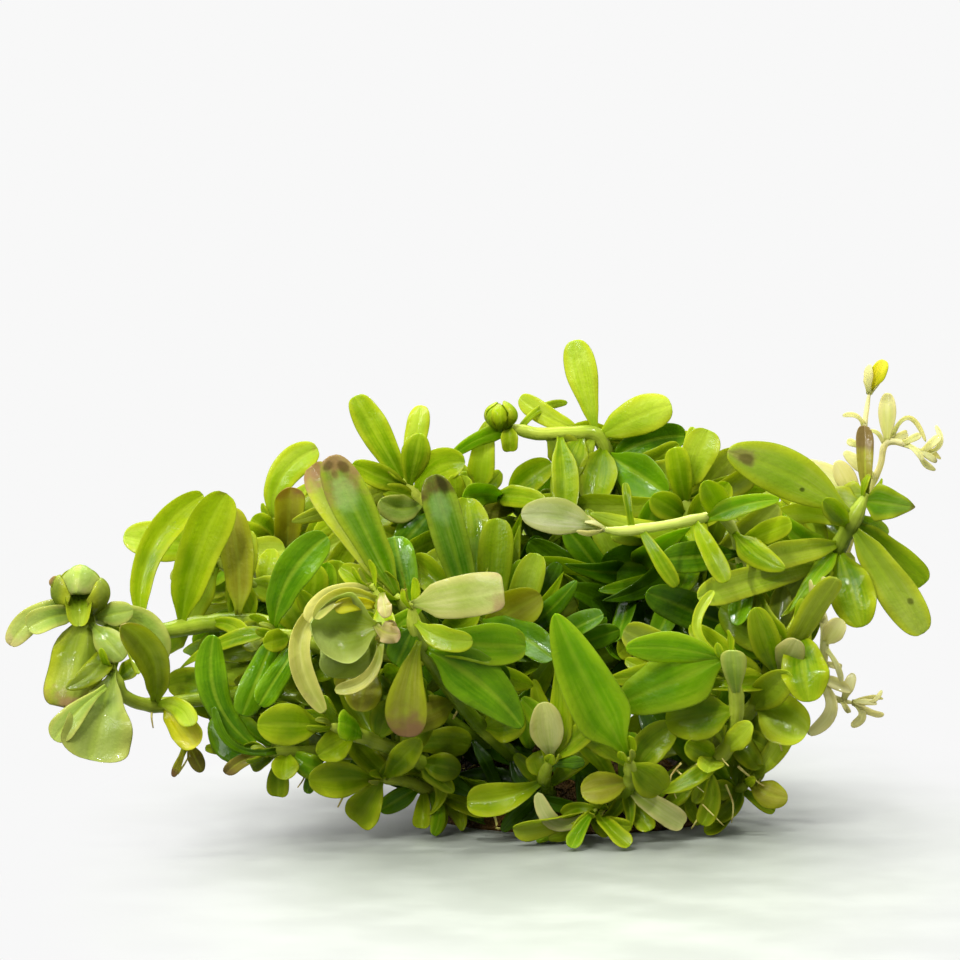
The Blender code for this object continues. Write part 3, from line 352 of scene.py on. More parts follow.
addShoot("left_cup", 0.5, [(-9.5, 3, -3.5), (-14, 4.2, -5.5), (-18.5, 4.3, -8.5), (-21.3, 4.3, -10.5)], [
    leaf((-21.3, 4.5), (-24.4, 12.0, -11), 1.9, bow=1.4, large=1, look="deep"),
    leaf((-20.9, 4.3), (-24.3, 6.7, -9), 2.2, "oval", bow=0.9, look="deep"),
    leaf((-20.3, 4.1), (-22.0, 3.3, -9), 0.9),
    leaf((-19.7, 4.2), (-19.9, 2.5, -12), 1.7, "oval"),
    leaf((-20.1, 4.2), (-20.3, 1.4, -9), 1.5, "spoon"),
    leaf((-21.2, 4.3), (-25.0, 4.6, -8), 0.7),
    leaf((-18.2, 4.3), (-19.7, 5.2, -8), 1.6, "oval"),
], [
    # Painted shade: this leaf takes the darkest look.
    leaf((-20.4, 4.4, -11.0), (-24.4, 7.4, -11.5), 0.55, bow=1.3, look="core"),
    leaf((-20.9, 4.2, -10.6), (-23.7, 2.9, -11.0), 0.9, bow=-0.3, look="burnt", scorch=0.6),
    leaf((-17.5, 4.2, -8.4), (-18.4, 1.6, -9.4), 0.8, look="deep"),
])

addShoot("left_mid", 0.5, [(-8.5, 2.2, -4), (-12, 4.2, -9), (-15.5, 5.6, -12), (-17.2, 6.1, -13)], [
    leaf((-17.2, 6.1), (-21.6, 6.15, -15), 2.5, "oval", node="leaf_round_left"),
    leaf((-15.3, 5.5), (-17.7, 4.1, -13), 1.9, "oval"),
    leaf((-12.4, 4.4), (-10.3, 6.4, -12), 1.8, "oval", look="lime"),
    leaf((-13.9, 5.0), (-12.9, 7.7, -11), 1.9, "oval"),
    leaf((-11.2, 3.7), (-8.4, 3.1, -8), 1.8, "oval"),
])

addShoot("left_floor", 0.45, [(-9.5, 1.4, -3), (-11.8, 2.4, -6.5), (-13.9, 2.6, -9)], [
    leaf((-14.0, 2.6), (-18.3, 2.5, -11), 2.3, "oval", large=1),
    leaf((-13.6, 2.4), (-15.2, -0.3, -8), 2.4, "spoon", large=1),
    leaf((-11.0, 1.9), (-13.7, 0.5, -6), 1.4, "oval", look="deep"),
    leaf((-10.9, 1.9), (-11.0, -0.7, -6.5), 1.2, "spoon"),
    leaf((-13.4, 2.8), (-11.0, 5.2, -10.5), 1.7, "oval"),
])

addShoot("left_dark", 0.5, [(-7.5, 5, -3), (-12.5, 9.2, -6), (-17, 11.0, -8), (-20.7, 12.3, -9.5)], [
    leaf((-20.9, 12.5), (-17.0, 18.4, -10), 2.3, bow=0.8, node="leaf_dark_arch", look="deep"),
    leaf((-20.4, 12.1), (-22.6, 6.7, -12), 1.9, large=1, look="deep"),
    leaf((-18.9, 11.6), (-21.5, 7.4, -13.5), 1.7, look="deep"),
    leaf((-19.5, 11.8), (-21.2, 11.4, -12), 1.5, "oval"),
    leaf((-18.2, 11.3), (-19.9, 8.6, -8), 1.8, "oval"),
    leaf((-17.6, 11.2), (-20.6, 14.9, -7), 1.9),
    leaf((-15.6, 10.5), (-18.9, 9.2, -7), 1.6, "oval"),
])

addShoot("left_back", 0.5,
    [(-6, 6.5, 6), (-11, 11, 7.5), (-16, 14.5, 7.5), (-19.5, 17, 6.5), (-20.6, 19.6, 6)], [
    leaf((-20.6, 19.6), (-17.6, 24.1, 7), 2.1, bow=1.0, node="leaf_back_arch", look="lime", slot="leaf_green",
         scorch=0.1, fold=0.35),
    leaf((-19.9, 17.2), (-19.4, 21.6, 3.5), 2.1, large=1, look="olive", scorch=0.6),
    leaf((-20.4, 18.4), (-21.9, 19.6, 4.5), 1.6, "oval"),
    leaf((-19.5, 16.9), (-22.8, 15.9, 1), 2.2, "oval", arch=0.2, large=1, look="pale"),
    leaf((-18.6, 16.3), (-21.9, 14.9, 3), 1.9, "oval"),
    leaf((-20.2, 17.8), (-24.0, 18.9, 2.5), 2.0, "oval"),
    leaf((-17.6, 15.6), (-17.4, 19.6, 5), 2.0),
])

addShoot("red_tip", 0.55, [(-5.5, 6.3, 0), (-9, 10.5, -3), (-12.6, 14.6, -6)], [
    leaf((-12.9, 14.9), (-16.9, 23.6, -6), 2.6, node="leaf_red_tip", look="capped", scorch=0.8, fold=0.3,
         cup=-0.2),
    leaf((-12.3, 14.3), (-18.0, 23.0, -3), 2.6, large=1, look="muted", scorch=0.7),
    leaf((-11.5, 13.4), (-12.7, 18.4, -4), 2.2, look="deep"),
    leaf((-12.4, 14.6), (-16.2, 16.4, -4), 1.8, "oval"),
    leaf((-10.0, 11.7), (-7.2, 13.5, -6), 1.9, "oval"),
    leaf((-10.9, 12.8), (-15.2, 15.0, -1), 2.2, "oval"),
])

addShoot("curl", 0.45,
    [(-6.5, 4.4, -4.5), (-11, 7.8, -8), (-14.4, 9.6, -9), (-13.6, 13.2, -10), (-14.2, 15.3, -10.5)], [
    leaf((-14.3, 15.5), (-17.2, 6.9, -15), 1.4, bow=-3.0, arch=0.8, large=1, look="ribbon", shaded=0.3,
         scorch=0.2, fold=0.6),
    leaf((-14.0, 14.8), (-18.3, 12.8, -14), 1.6, bow=-0.7, large=1, look="ribbon", shaded=0.3),
    leaf((-13.9, 12.8), (-17.5, 10.6, -15.5), 2.9, "oval", bow=0.8, large=1, look="bubble", cup=-0.5,
         fold=-0.2),
    leaf((-13.7, 13.8), (-13.0, 11.9, -13), 1.4, "oval"),
    leaf((-14.3, 10.0), (-16.4, 8.5, -11), 2.1, "oval", look="olive"),
    leaf((-12.6, 8.8), (-15.6, 7.3, -12), 1.7, "oval"),
    leaf((-14.2, 9.6), (-12.9, 8.2, -11), 1.0),
    leaf((-10.5, 7.5), (-12.0, 5.6, -11), 2.0, "oval", look="olive"),
], [
    leaf((-13.5, 12.6, -14.6), (-18.1, 12.7, -16.4), 4.3, "oval", bow=0.2, arch=-0.5, large=1, look="bubble",
         cup=0.5, fold=0.15, ripple=0.02, twist=4, shaded=0.0),
    leaf((-13.9, 14.3, -13.2), (-17.9, 13.0, -16.8), 1.0, bow=-0.9, large=1, look="ribbon", shaded=0.3,
         fold=0.5),
    leaf((-14.0, 13.9, -13.6), (-16.6, 13.7, -15.8), 1.0, bow=-0.2, look="yellow"),
    leaf((-13.5, 14.7, -13.5), (-13.2, 13.1, -16.2), 0.9, "oval", look="blush", shaded=0.2, scorch=0.3,
         ripple=0.3),
    leaf((-13.9, 12.6, -14.6), (-12.3, 12.1, -16.6), 1.3, "oval", bow=-0.2, large=1, look="blush", shaded=0.2,
         scorch=0.5, ripple=0.4, twist=40),
    leaf((-13.8, 11.6, -14.0), (-12.7, 12.9, -15.6), 0.8, look="blush", shaded=0.2, scorch=0.4, ripple=0.3),
    leaf((-14.4, 10.4, -10.5), (-15.0, 7.0, -14.0), 2.4, "oval", large=1, look="olive"),
    leaf((-13.6, 11.4, -14.0), (-16.6, 8.4, -15.0), 0.9, bow=0.9, large=1, look="ribbon", shaded=0.3,
         fold=0.4),
])

addShoot("star", 0.5, [(-3.5, 8.3, 3), (-6, 14, 4), (-9.5, 19, 3.5), (-12.2, 22.1, 2.5)], [
    leaf((-12.4, 22.3), (-15.2, 27.5, 3), 2.1, node="leaf_star_strap"),
    leaf((-12.0, 22.1), (-10.9, 26.9, 4), 1.5, large=1, look="lime"),
    leaf((-11.7, 21.7), (-11.0, 25.1, 1.2), 1.9, "oval"),
    leaf((-12.5, 22.2), (-15.4, 23.1, 1.5), 1.7, "oval"),
    leaf((-11.2, 21.2), (-8.1, 23.2, 1), 2.3, "oval", bow=0.7),
    leaf((-10.8, 20.6), (-13.6, 20.8, 0), 2.0, "oval", bow=0.5, large=1, look="misty"),
    leaf((-11.2, 21.1), (-13.5, 21.5, 2), 1.2, "oval"),
    leaf((-10.3, 20.0), (-12.5, 17.6, 1), 2.2, "oval", look="deep"),
    leaf((-9.2, 18.7), (-12.4, 18.2, 4), 2.0, "oval"),
])

addShoot("dark_tip", 0.5, [(-3, 6.3, -1.5), (-5, 9.5, -4), (-7.8, 13.6, -6)], [
    leaf((-8.2, 14.2), (-10.2, 22.4, -6), 2.4, node="leaf_dark_tip", look="darkCapped", slot="leaf_deep",
         scorch=0.7, fold=0.3),
    leaf((-7.6, 13.8), (-8.0, 20.9, -3), 2.5, large=1),
    leaf((-6.5, 12.0), (-6.0, 19.6, -4), 2.3),
    leaf((-7.2, 13.0), (-11.6, 17.0, -4), 2.0),
    leaf((-5.6, 10.6), (-3.4, 17.3, -5), 2.1, look="lime"),
    leaf((-6.9, 12.6), (-3.2, 14.6, -8), 2.8, "oval", look="olive"),
    leaf((-4.6, 9.0), (-7.5, 6.3, -6), 2.6, "oval"),
])

addShoot("cream", 0.5, [(-4.5, 3.6, -5.5), (-8, 7, -10), (-11, 11.5, -14), (-11.6, 14.1, -15.5)], [
    leaf((-11.4, 14.1), (-5.6, 14.9, -18), 2.6, arch=0.2, node="leaf_cream_front", look="pale",
         fineKind="cut", scorch=0.42, fold=0.1, dim=0.22, cup=-0.15),
    leaf((-10.9, 11.6), (-4.2, 11.3, -13), 2.5, large=1, look="vivid", scorch=0.15, dim=0.2),
    leaf((-9.6, 9.6), (-5.2, 9.0, -12), 2.8, "oval", large=1, look="deep"),
    leaf((-10.2, 10.6), (-13.2, 11.8, -12), 2.2, "oval", look="deep"),
    leaf((-8.4, 7.6), (-12.4, 6.1, -12), 2.2, "oval", look="olive"),
    leaf((-7.0, 6.2), (-4.2, 6.6, -10), 2.6, "oval"),
    leaf((-11.2, 12.6), (-12.6, 10.0, -13.5), 2.0, "oval", look="deep"),
], [
    leaf((-10.6, 11.0, -14.2), (-4.4, 5.9, -13.2), 3.2, "blade", bow=0.5, arch=0.5, large=1, look="deep",
         fold=0.25),
    leaf((-11.1, 11.6, -14.8), (-11.9, 5.3, -14.6), 2.5, "spoon", bow=-0.3, large=1, look="olive",
         scorch=0.75, fold=0.3, dim=0.3),
    leaf((-11.3, 12.8, -15.2), (-7.6, 11.6, -16.4), 1.6, "oval", bow=-0.4, look="lime", dim=0.4),
])

addShoot("lime", 0.5, [
    (-1.3, 9.3, 4.5), (-2.5, 15, 5.5), (-4, 19.3, 5), (-5.6, 20.9, 4.5), (-7.4, 21.0, 4),
], [
    leaf((-7.4, 21.1), (-6.7, 25.9, 3), 1.7, "blade", node="leaf_lime_strap", look="lime"),
    leaf((-7.0, 21.0), (-5.8, 22.6, 5.5), 1.1, "oval"),
    leaf((-5.4, 20.9), (-2.5, 23.1, 4), 2.0, "oval", bow=0.2, large=1),
    leaf((-4.6, 20.2), (-8.0, 19.8, 3), 1.4, "oval", look="olive"),
    leaf((-4.2, 19.6), (-6.9, 17.8, 2), 2.0, "oval"),
    leaf((-3.8, 19.0), (-1.4, 17.0, 3), 2.0, "oval"),
])

addShoot("top", 0.5,
    [(1, 9.6, 3), (1.8, 15, 4), (1.5, 21, 4), (0.6, 24.7, 3.5), (-1.2, 25.1, 3), (-3.5, 25.05, 2.6),
     (-5.4, 25.6, 2.2)], [
    leaf((0.5, 25.2), (-1.1, 31.1, 4), 2.1, "spoon", arch=0.3, node="leaf_top_spoon", look="lime"),
    leaf((0.7, 24.9), (5.2, 26.9, 3), 2.5, "spoon", bow=0.2, node="leaf_top_right", look="lime",
         fineKind="strap"),
    leaf((-0.6, 25.1), (-4.6, 27.4, 4), 1.4, bow=0.2, large=1, look="lime"),
    leaf((-4.6, 25.3), (-1.5, 27.05, 5), 0.6, bow=0.5),
    leaf((-5.4, 25.6), (-5.2, 23.9, 2), 1.2, "oval"),
    leaf((1.3, 23.2), (6.1, 24.9, 4.5), 1.9, bow=0.5, look="deep"),
    leaf((1.0, 23.9), (5.0, 21.1, -1), 2.7, "oval", large=1, look="deep"),
    leaf((0.9, 24.2), (0.1, 20.5, 0), 2.7, "oval", large=1),
    leaf((0.2, 24.9), (-2.4, 21.5, 2), 1.3, bow=0.3, look="lime"),
    leaf((1.4, 22.1), (4.7, 20.0, 1), 2.0, "oval"),
    leaf((1.7, 19.0), (-1.2, 18.0, 2), 2.2, "oval", look="deep"),
], bud=(1.0, -5.9, 26.2, 2))

addShoot("crown", 0.5, [(4.5, 8.8, 1), (5.8, 14, 0), (6.2, 19, -0.5), (5.9, 21.7, -0.5)], [
    leaf((5.9, 21.2), (7.6, 25.3, -1), 2.3, large=1, look="lime", dim=0.2),
    leaf((5.9, 21.6), (6.6, 25.5, 1), 0.9),
    leaf((6.0, 20.4), (5.4, 24.2, -2.5), 1.7),
    leaf((6.2, 19.6), (3.9, 21.0, -2.5), 1.9, "oval"),
    leaf((6.2, 18.7), (8.9, 21.9, -3), 2.1, "oval"),
    leaf((6.1, 16.8), (0.6, 16.6, -3), 2.9, "oval", look="deep"),
    leaf((6.0, 15.3), (9.4, 15.6, -3), 2.0, "oval", look="deep"),
    leaf((5.7, 13.8), (2.2, 12.3, -3), 2.4, "oval", look="deep"),
])

addShoot("pale_stem", 0.36,
    [(7.8, 7.4, -2.5), (9.3, 12, -2.2), (9.7, 17, -2.4), (8.6, 19.6, -5), (6.8, 19.5, -6.6), (5, 19.15, -7.5),
     (2, 18.75, -8), (0.4, 18.95, -8.5)], [
    leaf((0.4, 18.95), (-4.5, 19.8, -9.5), 2.3, "oval", bow=-0.3, node="leaf_whitish", look="whitish",
         scorch=0.1, shaded=0.2),
    leaf((2.7, 18.9), (2.2, 21.9, -7), 0.6),
    leaf((3.2, 18.85), (5.6, 15.1, -9), 1.0),
    leaf((9.5, 17.3), (4.5, 16.9, -8), 2.0, "oval", large=1, look="deep"),
    leaf((9.6, 17.9), (13.0, 19.3, -7.0), 1.5),
    leaf((8.9, 19.3), (7.3, 22.0, -8), 1.8, "oval"),
    leaf((6.6, 19.5), (8.8, 15.4, -9.5), 1.4),
    leaf((9.2, 12.5), (3.6, 14.8, -7), 2.6, "oval", large=1, look="deep"),
], [
    leaf((7.3, 19.4, -6.2), (12.2, 20.8, -7.0), 1.4, "blade", bow=0.3, large=1, look="vivid"),
    leaf((9.3, 18.6, -4.2), (12.6, 16.3, -7.2), 1.7, "blade", bow=-0.3, large=1),
    leaf((9.6, 16.6, -3.0), (9.3, 12.6, -7.5), 1.6, "oval", bow=0.3, look="deep"),
], stem="pale", stemLook="stemLime")

addShoot("right_main", 0.6, [
    (8, 6.2, 3), (12, 11.5, 2.5), (15.2, 16.3, 1), (16.8, 19.2, 0), (17.8, 21.2, 0),
], [
    leaf((16.9, 19.6), (8.8, 23.9, -3), 3.0, "oval", bow=-0.5, node="leaf_brown_spot", look="stained",
         cup=-0.2, fold=0.1),
    leaf((15.3, 16.5), (6.9, 14.4, -7.5), 2.0, bow=-0.2, node="leaf_lime_long", look="lime", shaded=0.1),
    leaf((17.6, 20.7), (20.95, 20.3, 1), 2.7, "pointed", node="leaf_right_dark_tip", look="silvery",
         scorch=0.6, fold=0.1),
    leaf((17.9, 21.3), (17.6, 25.6, 1), 1.15, node="leaf_olive_upright", look="burnt", scorch=1.2),
    leaf((17.0, 19.2), (21.6, 12.1, -1), 2.5, node="leaf_right_long", look="dotted", fold=0.3, cup=-0.1),
    leaf((17.2, 19.5), (21.6, 15.3, 3), 2.2, large=1),
    leaf((17.2, 19.8), (19.2, 18.5, 3.5), 1.1, "oval"),
    leaf((16.0, 17.6), (17.6, 12.5, -2), 2.9, "oval", node="leaf_right_oval"),
    leaf((16.9, 19.4), (15.0, 20.8, -3), 1.4, "oval"),
    leaf((16.1, 17.9), (11.1, 16.9, -4), 1.8, large=1, look="lime"),
    leaf((14.6, 15.4), (11.0, 18.9, -1), 2.3, "oval"),
])

addShoot("right_low", 0.5, [(7.6, 4.8, -2), (10.5, 7.2, -5), (12.5, 10, -6), (13.6, 13, -6.5)], [
    leaf((13.4, 12.4), (14.2, 7.6, -9.5), 3.0, "oval", large=1),
    leaf((12.2, 9.6), (13.4, 11.7, -9), 1.9, "oval", large=1, look="pale"),
    leaf((10.6, 7.4), (14.1, 5.6, -7), 3.2, "oval", large=1, look="lime"),
    leaf((10.3, 7.1), (12.9, 9.6, -9), 2.2, "oval", look="lime"),
    leaf((12.0, 9.4), (10.6, 13.8, -8), 1.9, "oval"),
    leaf((12.7, 10.6), (8.4, 13.8, -6), 2.5, "oval", large=1, look="lime", dim=0.2),
    leaf((9.3, 6.1), (11.6, 4.5, -5), 1.3, "oval"),
    leaf((9.0, 5.9), (11.0, 3.2, -6.5), 1.6, "oval"),
    leaf((13.0, 11.2), (14.5, 9.3, -5), 2.1, "oval"),
])

addShoot("right_front", 0.5, [(6.2, 2.6, -6), (8.8, 4.5, -9), (9.5, 7.6, -11), (8.8, 10.6, -12)], [
    leaf((8.8, 10.5), (1.7, 7.4, -11), 3.9, "blade", node="leaf_big_left", look="vivid", fold=0.1, cup=-0.15),
    leaf((9.5, 7.8), (9.2, 11.0, -14), 1.6, "spoon", large=1, look="misty"),
    leaf((9.4, 7.0), (4.9, 6.3, -10), 3.0, "oval", large=1),
    leaf((8.6, 4.4), (10.5, 6.2, -12), 1.6, "oval", look="lime"),
    leaf((8.8, 10.6), (8.0, 14.9, -11), 0.7, bow=1.5, look="lime"),
    leaf((8.2, 4.0), (6.2, 4.9, -11), 1.7, "oval"),
# Painted shade: this leaf takes the darkest look.
], [leaf((6.4, 3.4, -4.0), (3.5, 7.5, -3.0), 2.4, "oval", look="core")])

addShoot("right_floor", 0.4, [(8.8, 1.2, -3.5), (10.4, 2.4, -6)], [
    leaf((10.3, 2.3), (12.85, 1.3, -6.5), 1.8, "oval", bow=-0.2, large=1, look="olive"),
    leaf((9.8, 1.9), (12.0, 0.4, -5), 0.8),
    leaf((9.6, 1.8), (7.7, 1.9, -6.5), 1.3, "oval"),
    leaf((10.3, 2.4), (11.2, 3.3, -5), 1.0, "oval"),
])

addShoot("front", 0.5, [(1.6, 0.9, -7.5), (2.6, 2.4, -10), (2.5, 4.0, -12)], [
    leaf((2.5, 4.0), (-2.3, 13.4, -15), 3.4, "blade", bow=0.2, node="leaf_front_big", look="vivid", fold=0.3,
         ripple=0.14),
    leaf((2.3, 3.2), (-1.6, 7.4, -11), 2.0, "oval"),
    leaf((2.0, 2.6), (-0.6, 1.7, -11), 2.0, "oval", look="olive"),
    leaf((2.6, 3.6), (4.8, 1.8, -9.5), 2.3, "oval"),
    leaf((2.3, 2.0), (6.1, -0.45, -9), 1.5, large=1, look="pale"),
    leaf((2.0, 1.4), (3.8, 0.3, -7), 1.1, "oval", look="deep"),
])

addShoot("front_left", 0.45, [(-2.6, 1.6, -7), (-3.0, 2.6, -9.5), (-2.5, 3.9, -11.5)], [
    leaf((-2.5, 3.9), (-3.1, 7.6, -13.5), 2.1, "oval", large=1, look="pale"),
    leaf((-2.9, 2.6), (-3.4, 4.4, -9.5), 1.9, "oval"),
    leaf((-2.5, 3.8), (0.4, 6.4, -12), 1.6, "oval"),
    leaf((-3.0, 2.5), (-8.0, 1.1, -9.5), 2.1, "spoon", bow=0.4, large=1),
    leaf((-2.7, 1.9), (-4.9, 4.2, -8), 1.0, "oval"),
])

addShoot("front_sprout", 0.4, [(-0.3, 0.5, -7.3), (0.4, 0.5, -9.6)], [
    leaf((0.2, 0.4), (-3.4, 1.7, -10.5), 1.0, bow=1.5, large=1, look="pale"),
    leaf((0.4, 0.6), (-1.8, 0.2, -8.5), 0.9, bow=-0.3),
    leaf((0.4, 0.3), (-1.05, -1.5, -10.2), 0.7, bow=-0.3),
    leaf((0.5, 0.7), (0.7, 2.3, -11.5), 1.5, "oval", look="lime"),
    leaf((0.3, 0.2), (1.2, -1.2, -9.0), 1.2, "oval"),
])

addShoot("pale_top", 0.24,
    [(9.8, 8, 6), (14, 15, 6.5), (17.4, 20.5, 5.5), (18.6, 22.8, 4.5), (19.0, 24.4, 4), (20.2, 24.4, 4),
     (21.4, 23.7, 4)], [
    leaf((19.0, 24.6), (19.1, 27.7, 4), 1.15, "oval", look="clear"),
    leaf((19.1, 24.6), (20.4, 25.1, 5), 0.6, look="clear"),
    leaf((20.1, 24.4), (21.25, 25.0, 3.5), 0.5, look="clear"),
    leaf((19.1, 24.6), (21.6, 24.5, 5.5), 0.35, bow=1.6, look="clear"),
    leaf((20.2, 24.3), (21.4, 23.3, 3), 0.4, bow=0.2, look="clear"),
    leaf((21.3, 23.8), (22.5, 24.9, 4), 0.6, look="clear"),
    leaf((21.3, 23.8), (22.2, 25.6, 5), 0.4, bow=-0.8, look="clear"),
    leaf((17.6, 21.0), (13.4, 23.2, 6), 1.6, "oval", look="clear"),
    leaf((17.4, 20.6), (15.8, 23.3, 4), 1.4, "oval", look="clear"),
    leaf((18.2, 22.2), (16.3, 23.9, 4), 0.9, "oval", look="clear"),
], stem="pale")

addShoot("bud_stalk", 0.2, [(16.6, 17.4, 3.6), (17.5, 20.8, 3), (17.6, 25.2, 3), (18.0, 28.1, 3)], [
    leaf((18.0, 28.0), (18.9, 29.8, 3), 1.1, "oval", look="yellow"),
    leaf((17.6, 25.6), (16.2, 26.2, 3), 0.35, bow=-0.4, look="clear"),
    leaf((17.6, 24.0), (16.5, 24.6, 2.6), 0.5, look="clear"),
    leaf((17.6, 25.4), (18.8, 24.4, 3), 0.3, bow=0.4, look="clear"),
], stem="pale")

addShoot("pale_low", 0.3,
    [(9.2, 4.6, 1.5), (12.6, 7.8, -1), (14.8, 9.6, -2.5), (15.15, 12, -3.2), (14.9, 14.3, -3.6)], [
    leaf((15.1, 12.9), (14.1, 14.3, -5), 0.9, look="clear"),
    leaf((15.2, 11.4), (16.3, 13.0, -4.5), 1.4, "oval", look="clear"),
    leaf((15.0, 10.1), (16.3, 9.9, -3), 0.45, look="clear"),
    leaf((15.1, 11.3), (16.3, 8.9, -3.4), 0.4, bow=0.2, look="clear"),
    leaf((14.6, 9.4), (16.9, 8.3, -3), 0.8, "oval", look="clear"),
    leaf((14.8, 9.2), (14.1, 5.5, -4), 0.9, bow=1.3, look="clear"),
], stem="pale")

addShoot("pale_low_sprout", 0.2, [(15.35, 8.1, -1.9), (16.3, 7.7, -2.2), (17.5, 7.5, -2.4)], [
    leaf((16.4, 7.7), (17.05, 9.5, -2.5), 0.8, "oval", look="clear"),
    leaf((16.3, 7.7), (16.8, 6.9, -2.5), 0.4, look="clear"),
    leaf((17.2, 7.5), (16.9, 6.05, -2.5), 0.6, bow=0.6, look="clear"),
    leaf((17.4, 7.5), (18.9, 8.4, -2.5), 0.3, bow=-0.35, look="clear"),
], stem="pale")


# The back and the inside, in the habit of the shoots in front

backShoots = {
    "seed": 7, "length": 6.4, "lengthVary": (0.75, 1.1), "size": 2.5, "spacing": 3.3, "firstPair": 0.4,
    "radius": 0.5, "outward": 0.85, "onward": 0.5, "footStep": 0.2,
    "wide": (0.8, 1.1), "kinds": ("oval", "spoon"), "bow": (-0.6, 0.6), "arch": (-0.2, 0.9),
    "roll": (-70, 70),
    "routes": {
        "back_left": [(-7.5, 4.5, 6), (-14, 8, 10), (-20, 11.5, 12), (-23, 15, 12.5)],
        "back_low_left": [(-8, 2.5, 6), (-14, 4.5, 11), (-19, 6.5, 14)],
        "back_mid": [(-3, 7.5, 7), (-6, 13, 12), (-9, 18, 14)],
        "back_top": [(1, 8, 8), (3, 15, 11), (4.5, 21, 11)],
        "back_right": [(5, 6.5, 8), (9, 12, 12), (12.5, 17.5, 13)],
        "back_low_right": [(7, 3, 8), (10.5, 5.5, 12), (12.5, 9, 14)],
        "back_low": [(-1, 3.5, 10), (-2, 6.5, 15), (-3.5, 10, 17.5)],
        "inner_right": [(2.8, 8.5, 0), (2.6, 11.8, -1.5), (2.9, 16.5, -1)],
    },
}
plainStem = {
    "steps": 4, "footSteps": 12, "midline": 24, "tolerance": 0.16, "sides": 5, "taper": 0.8,
    "covered": {  # stems that leaves may hide
        "shoot_cream", "shoot_curl", "shoot_left_dark", "shoot_left_back", "shoot_red_tip", "shoot_dark_tip",
        "shoot_star", "shoot_lime", "shoot_crown", "shoot_right_low", "shoot_right_front", "shoot_back_mid",
        "shoot_back_top", "shoot_back_right", "shoot_inner_right", "shoot_left_up", "shoot_left_mid",
        "shoot_back_low", "shoot_back_left",
    },
}


def crossedPairs(line, spacing, travelled, draw):  # pairs of leaves down a stem, each across the last
    turn = draw.uniform(0, math.pi)
    for before, place in zip(line, line[1:]):
        travelled += (place - before).length
        if travelled < spacing:
            continue
        travelled = 0.0
        turn += math.pi / 2
        along = (place - before).normalized()
        side = along.orthogonal().normalized()
        for halfTurn in (0, math.pi):
            yield place, along, side, along.cross(side), turn + halfTurn


def backShoot(name, route, draw):
    line = smoothRoute([seen(*place) for place in route], plainStem["steps"])
    start = backShoots["spacing"] * backShoots["firstPair"]
    leaves = []
    for place, along, side, other, turn in crossedPairs(line, backShoots["spacing"], start, draw):
        out = side * math.cos(turn) + other * math.sin(turn)
        length = backShoots["length"] * draw.uniform(*backShoots["lengthVary"])
        way = out * backShoots["outward"] + along * backShoots["onward"]
        foot = place - along * backShoots["footStep"] * (len(leaves) % 2 + 1)
        leaves.append(drawnLeaf(backShoots, draw, backShoots["size"], footPoint=foot,
                                tipPoint=place + way.normalized() * length))
    addShoot(name, backShoots["radius"], route, leaves)


def nearestOn(line, across, up):
    def distance(point):
        seenAcross, seenUp = asSeen(point)
        return math.hypot(seenAcross - across, seenUp - up)
    return min(line, key=distance)


def roomFor(plan, foot, tip, space, but, gap):
    verts, faces = plainLeaf(plan, foot, tip)
    if min(vert.z for vert in verts) < clear["surface"]:
        return None
    at, _ = leafLine(foot, tip, plan["bow"], plan["arch"])
    middle = [at(step / plainStem["midline"]) for step in range(plainStem["midline"] + 1)]
    if not space.isFree(spread(verts, middle, gap), faces, but):
        return None
    return verts, faces


def placeLeaf(plan, shootPlan, line, space):  # tries depths along the line of sight until the leaf has room
    hidden = "tipPoint" in plan
    if hidden and not insideBody(*asSeen(plan["tipPoint"])):
        return
    foot = plan["footPoint"] if hidden else nearestOn(line, *plan["foot"])
    but = () if plan["node"] else (shootPlan["node"],)
    for step in (0,) if hidden else clear["depthSteps"]:
        if hidden:
            tip = plan["tipPoint"]
        else:
            across, up, back = plan["tip"]
            tip = seen(across, up, back + step)
        start = foot
        if plan["node"]:
            start = foot + (tip - foot).normalized() * (shootPlan["radius"] + clear["gap"] + clear["foot"])
        found = roomFor(plan, start, tip, space, but, clear["gap"])
        if found:
            if not hidden:
                line.remove(foot)
            space.add(plan["node"] or shootPlan["node"], *found)
            plan["placed"] = (foot, tip)
            return


def placeEverything(shoots):
    space = Space()
    space.add("root_mass", *rootMound(), covered=True)
    for plan in shoots:
        plain = withoutStraightPoints(stemLine(plan, plainStem["steps"]), plainStem["tolerance"])
        tube = tubeForm(plain, plan["radius"], plan["radius"] * plainStem["taper"], plainStem["sides"])
        space.add(plan["node"], *tube, covered=plan["node"] in plainStem["covered"])
    for plan in shoots:
        line = stemLine(plan, plainStem["footSteps"])[:-1]
        if "bud" in plan:
            space.add(plan["node"], *budForm(*plan["bud"]))
        for grown in plan["leaves"]:
            placeLeaf(grown, plan, line, space)
        for grown in plan["extras"]:
            grown["placed"] = (seen(*grown["foot"]), seen(*grown["tip"]))
            space.add(plan["node"], *plainLeaf(grown, *grown["placed"]))
    return space


# Fine meshes: every blade, stem and root as it is seen close to

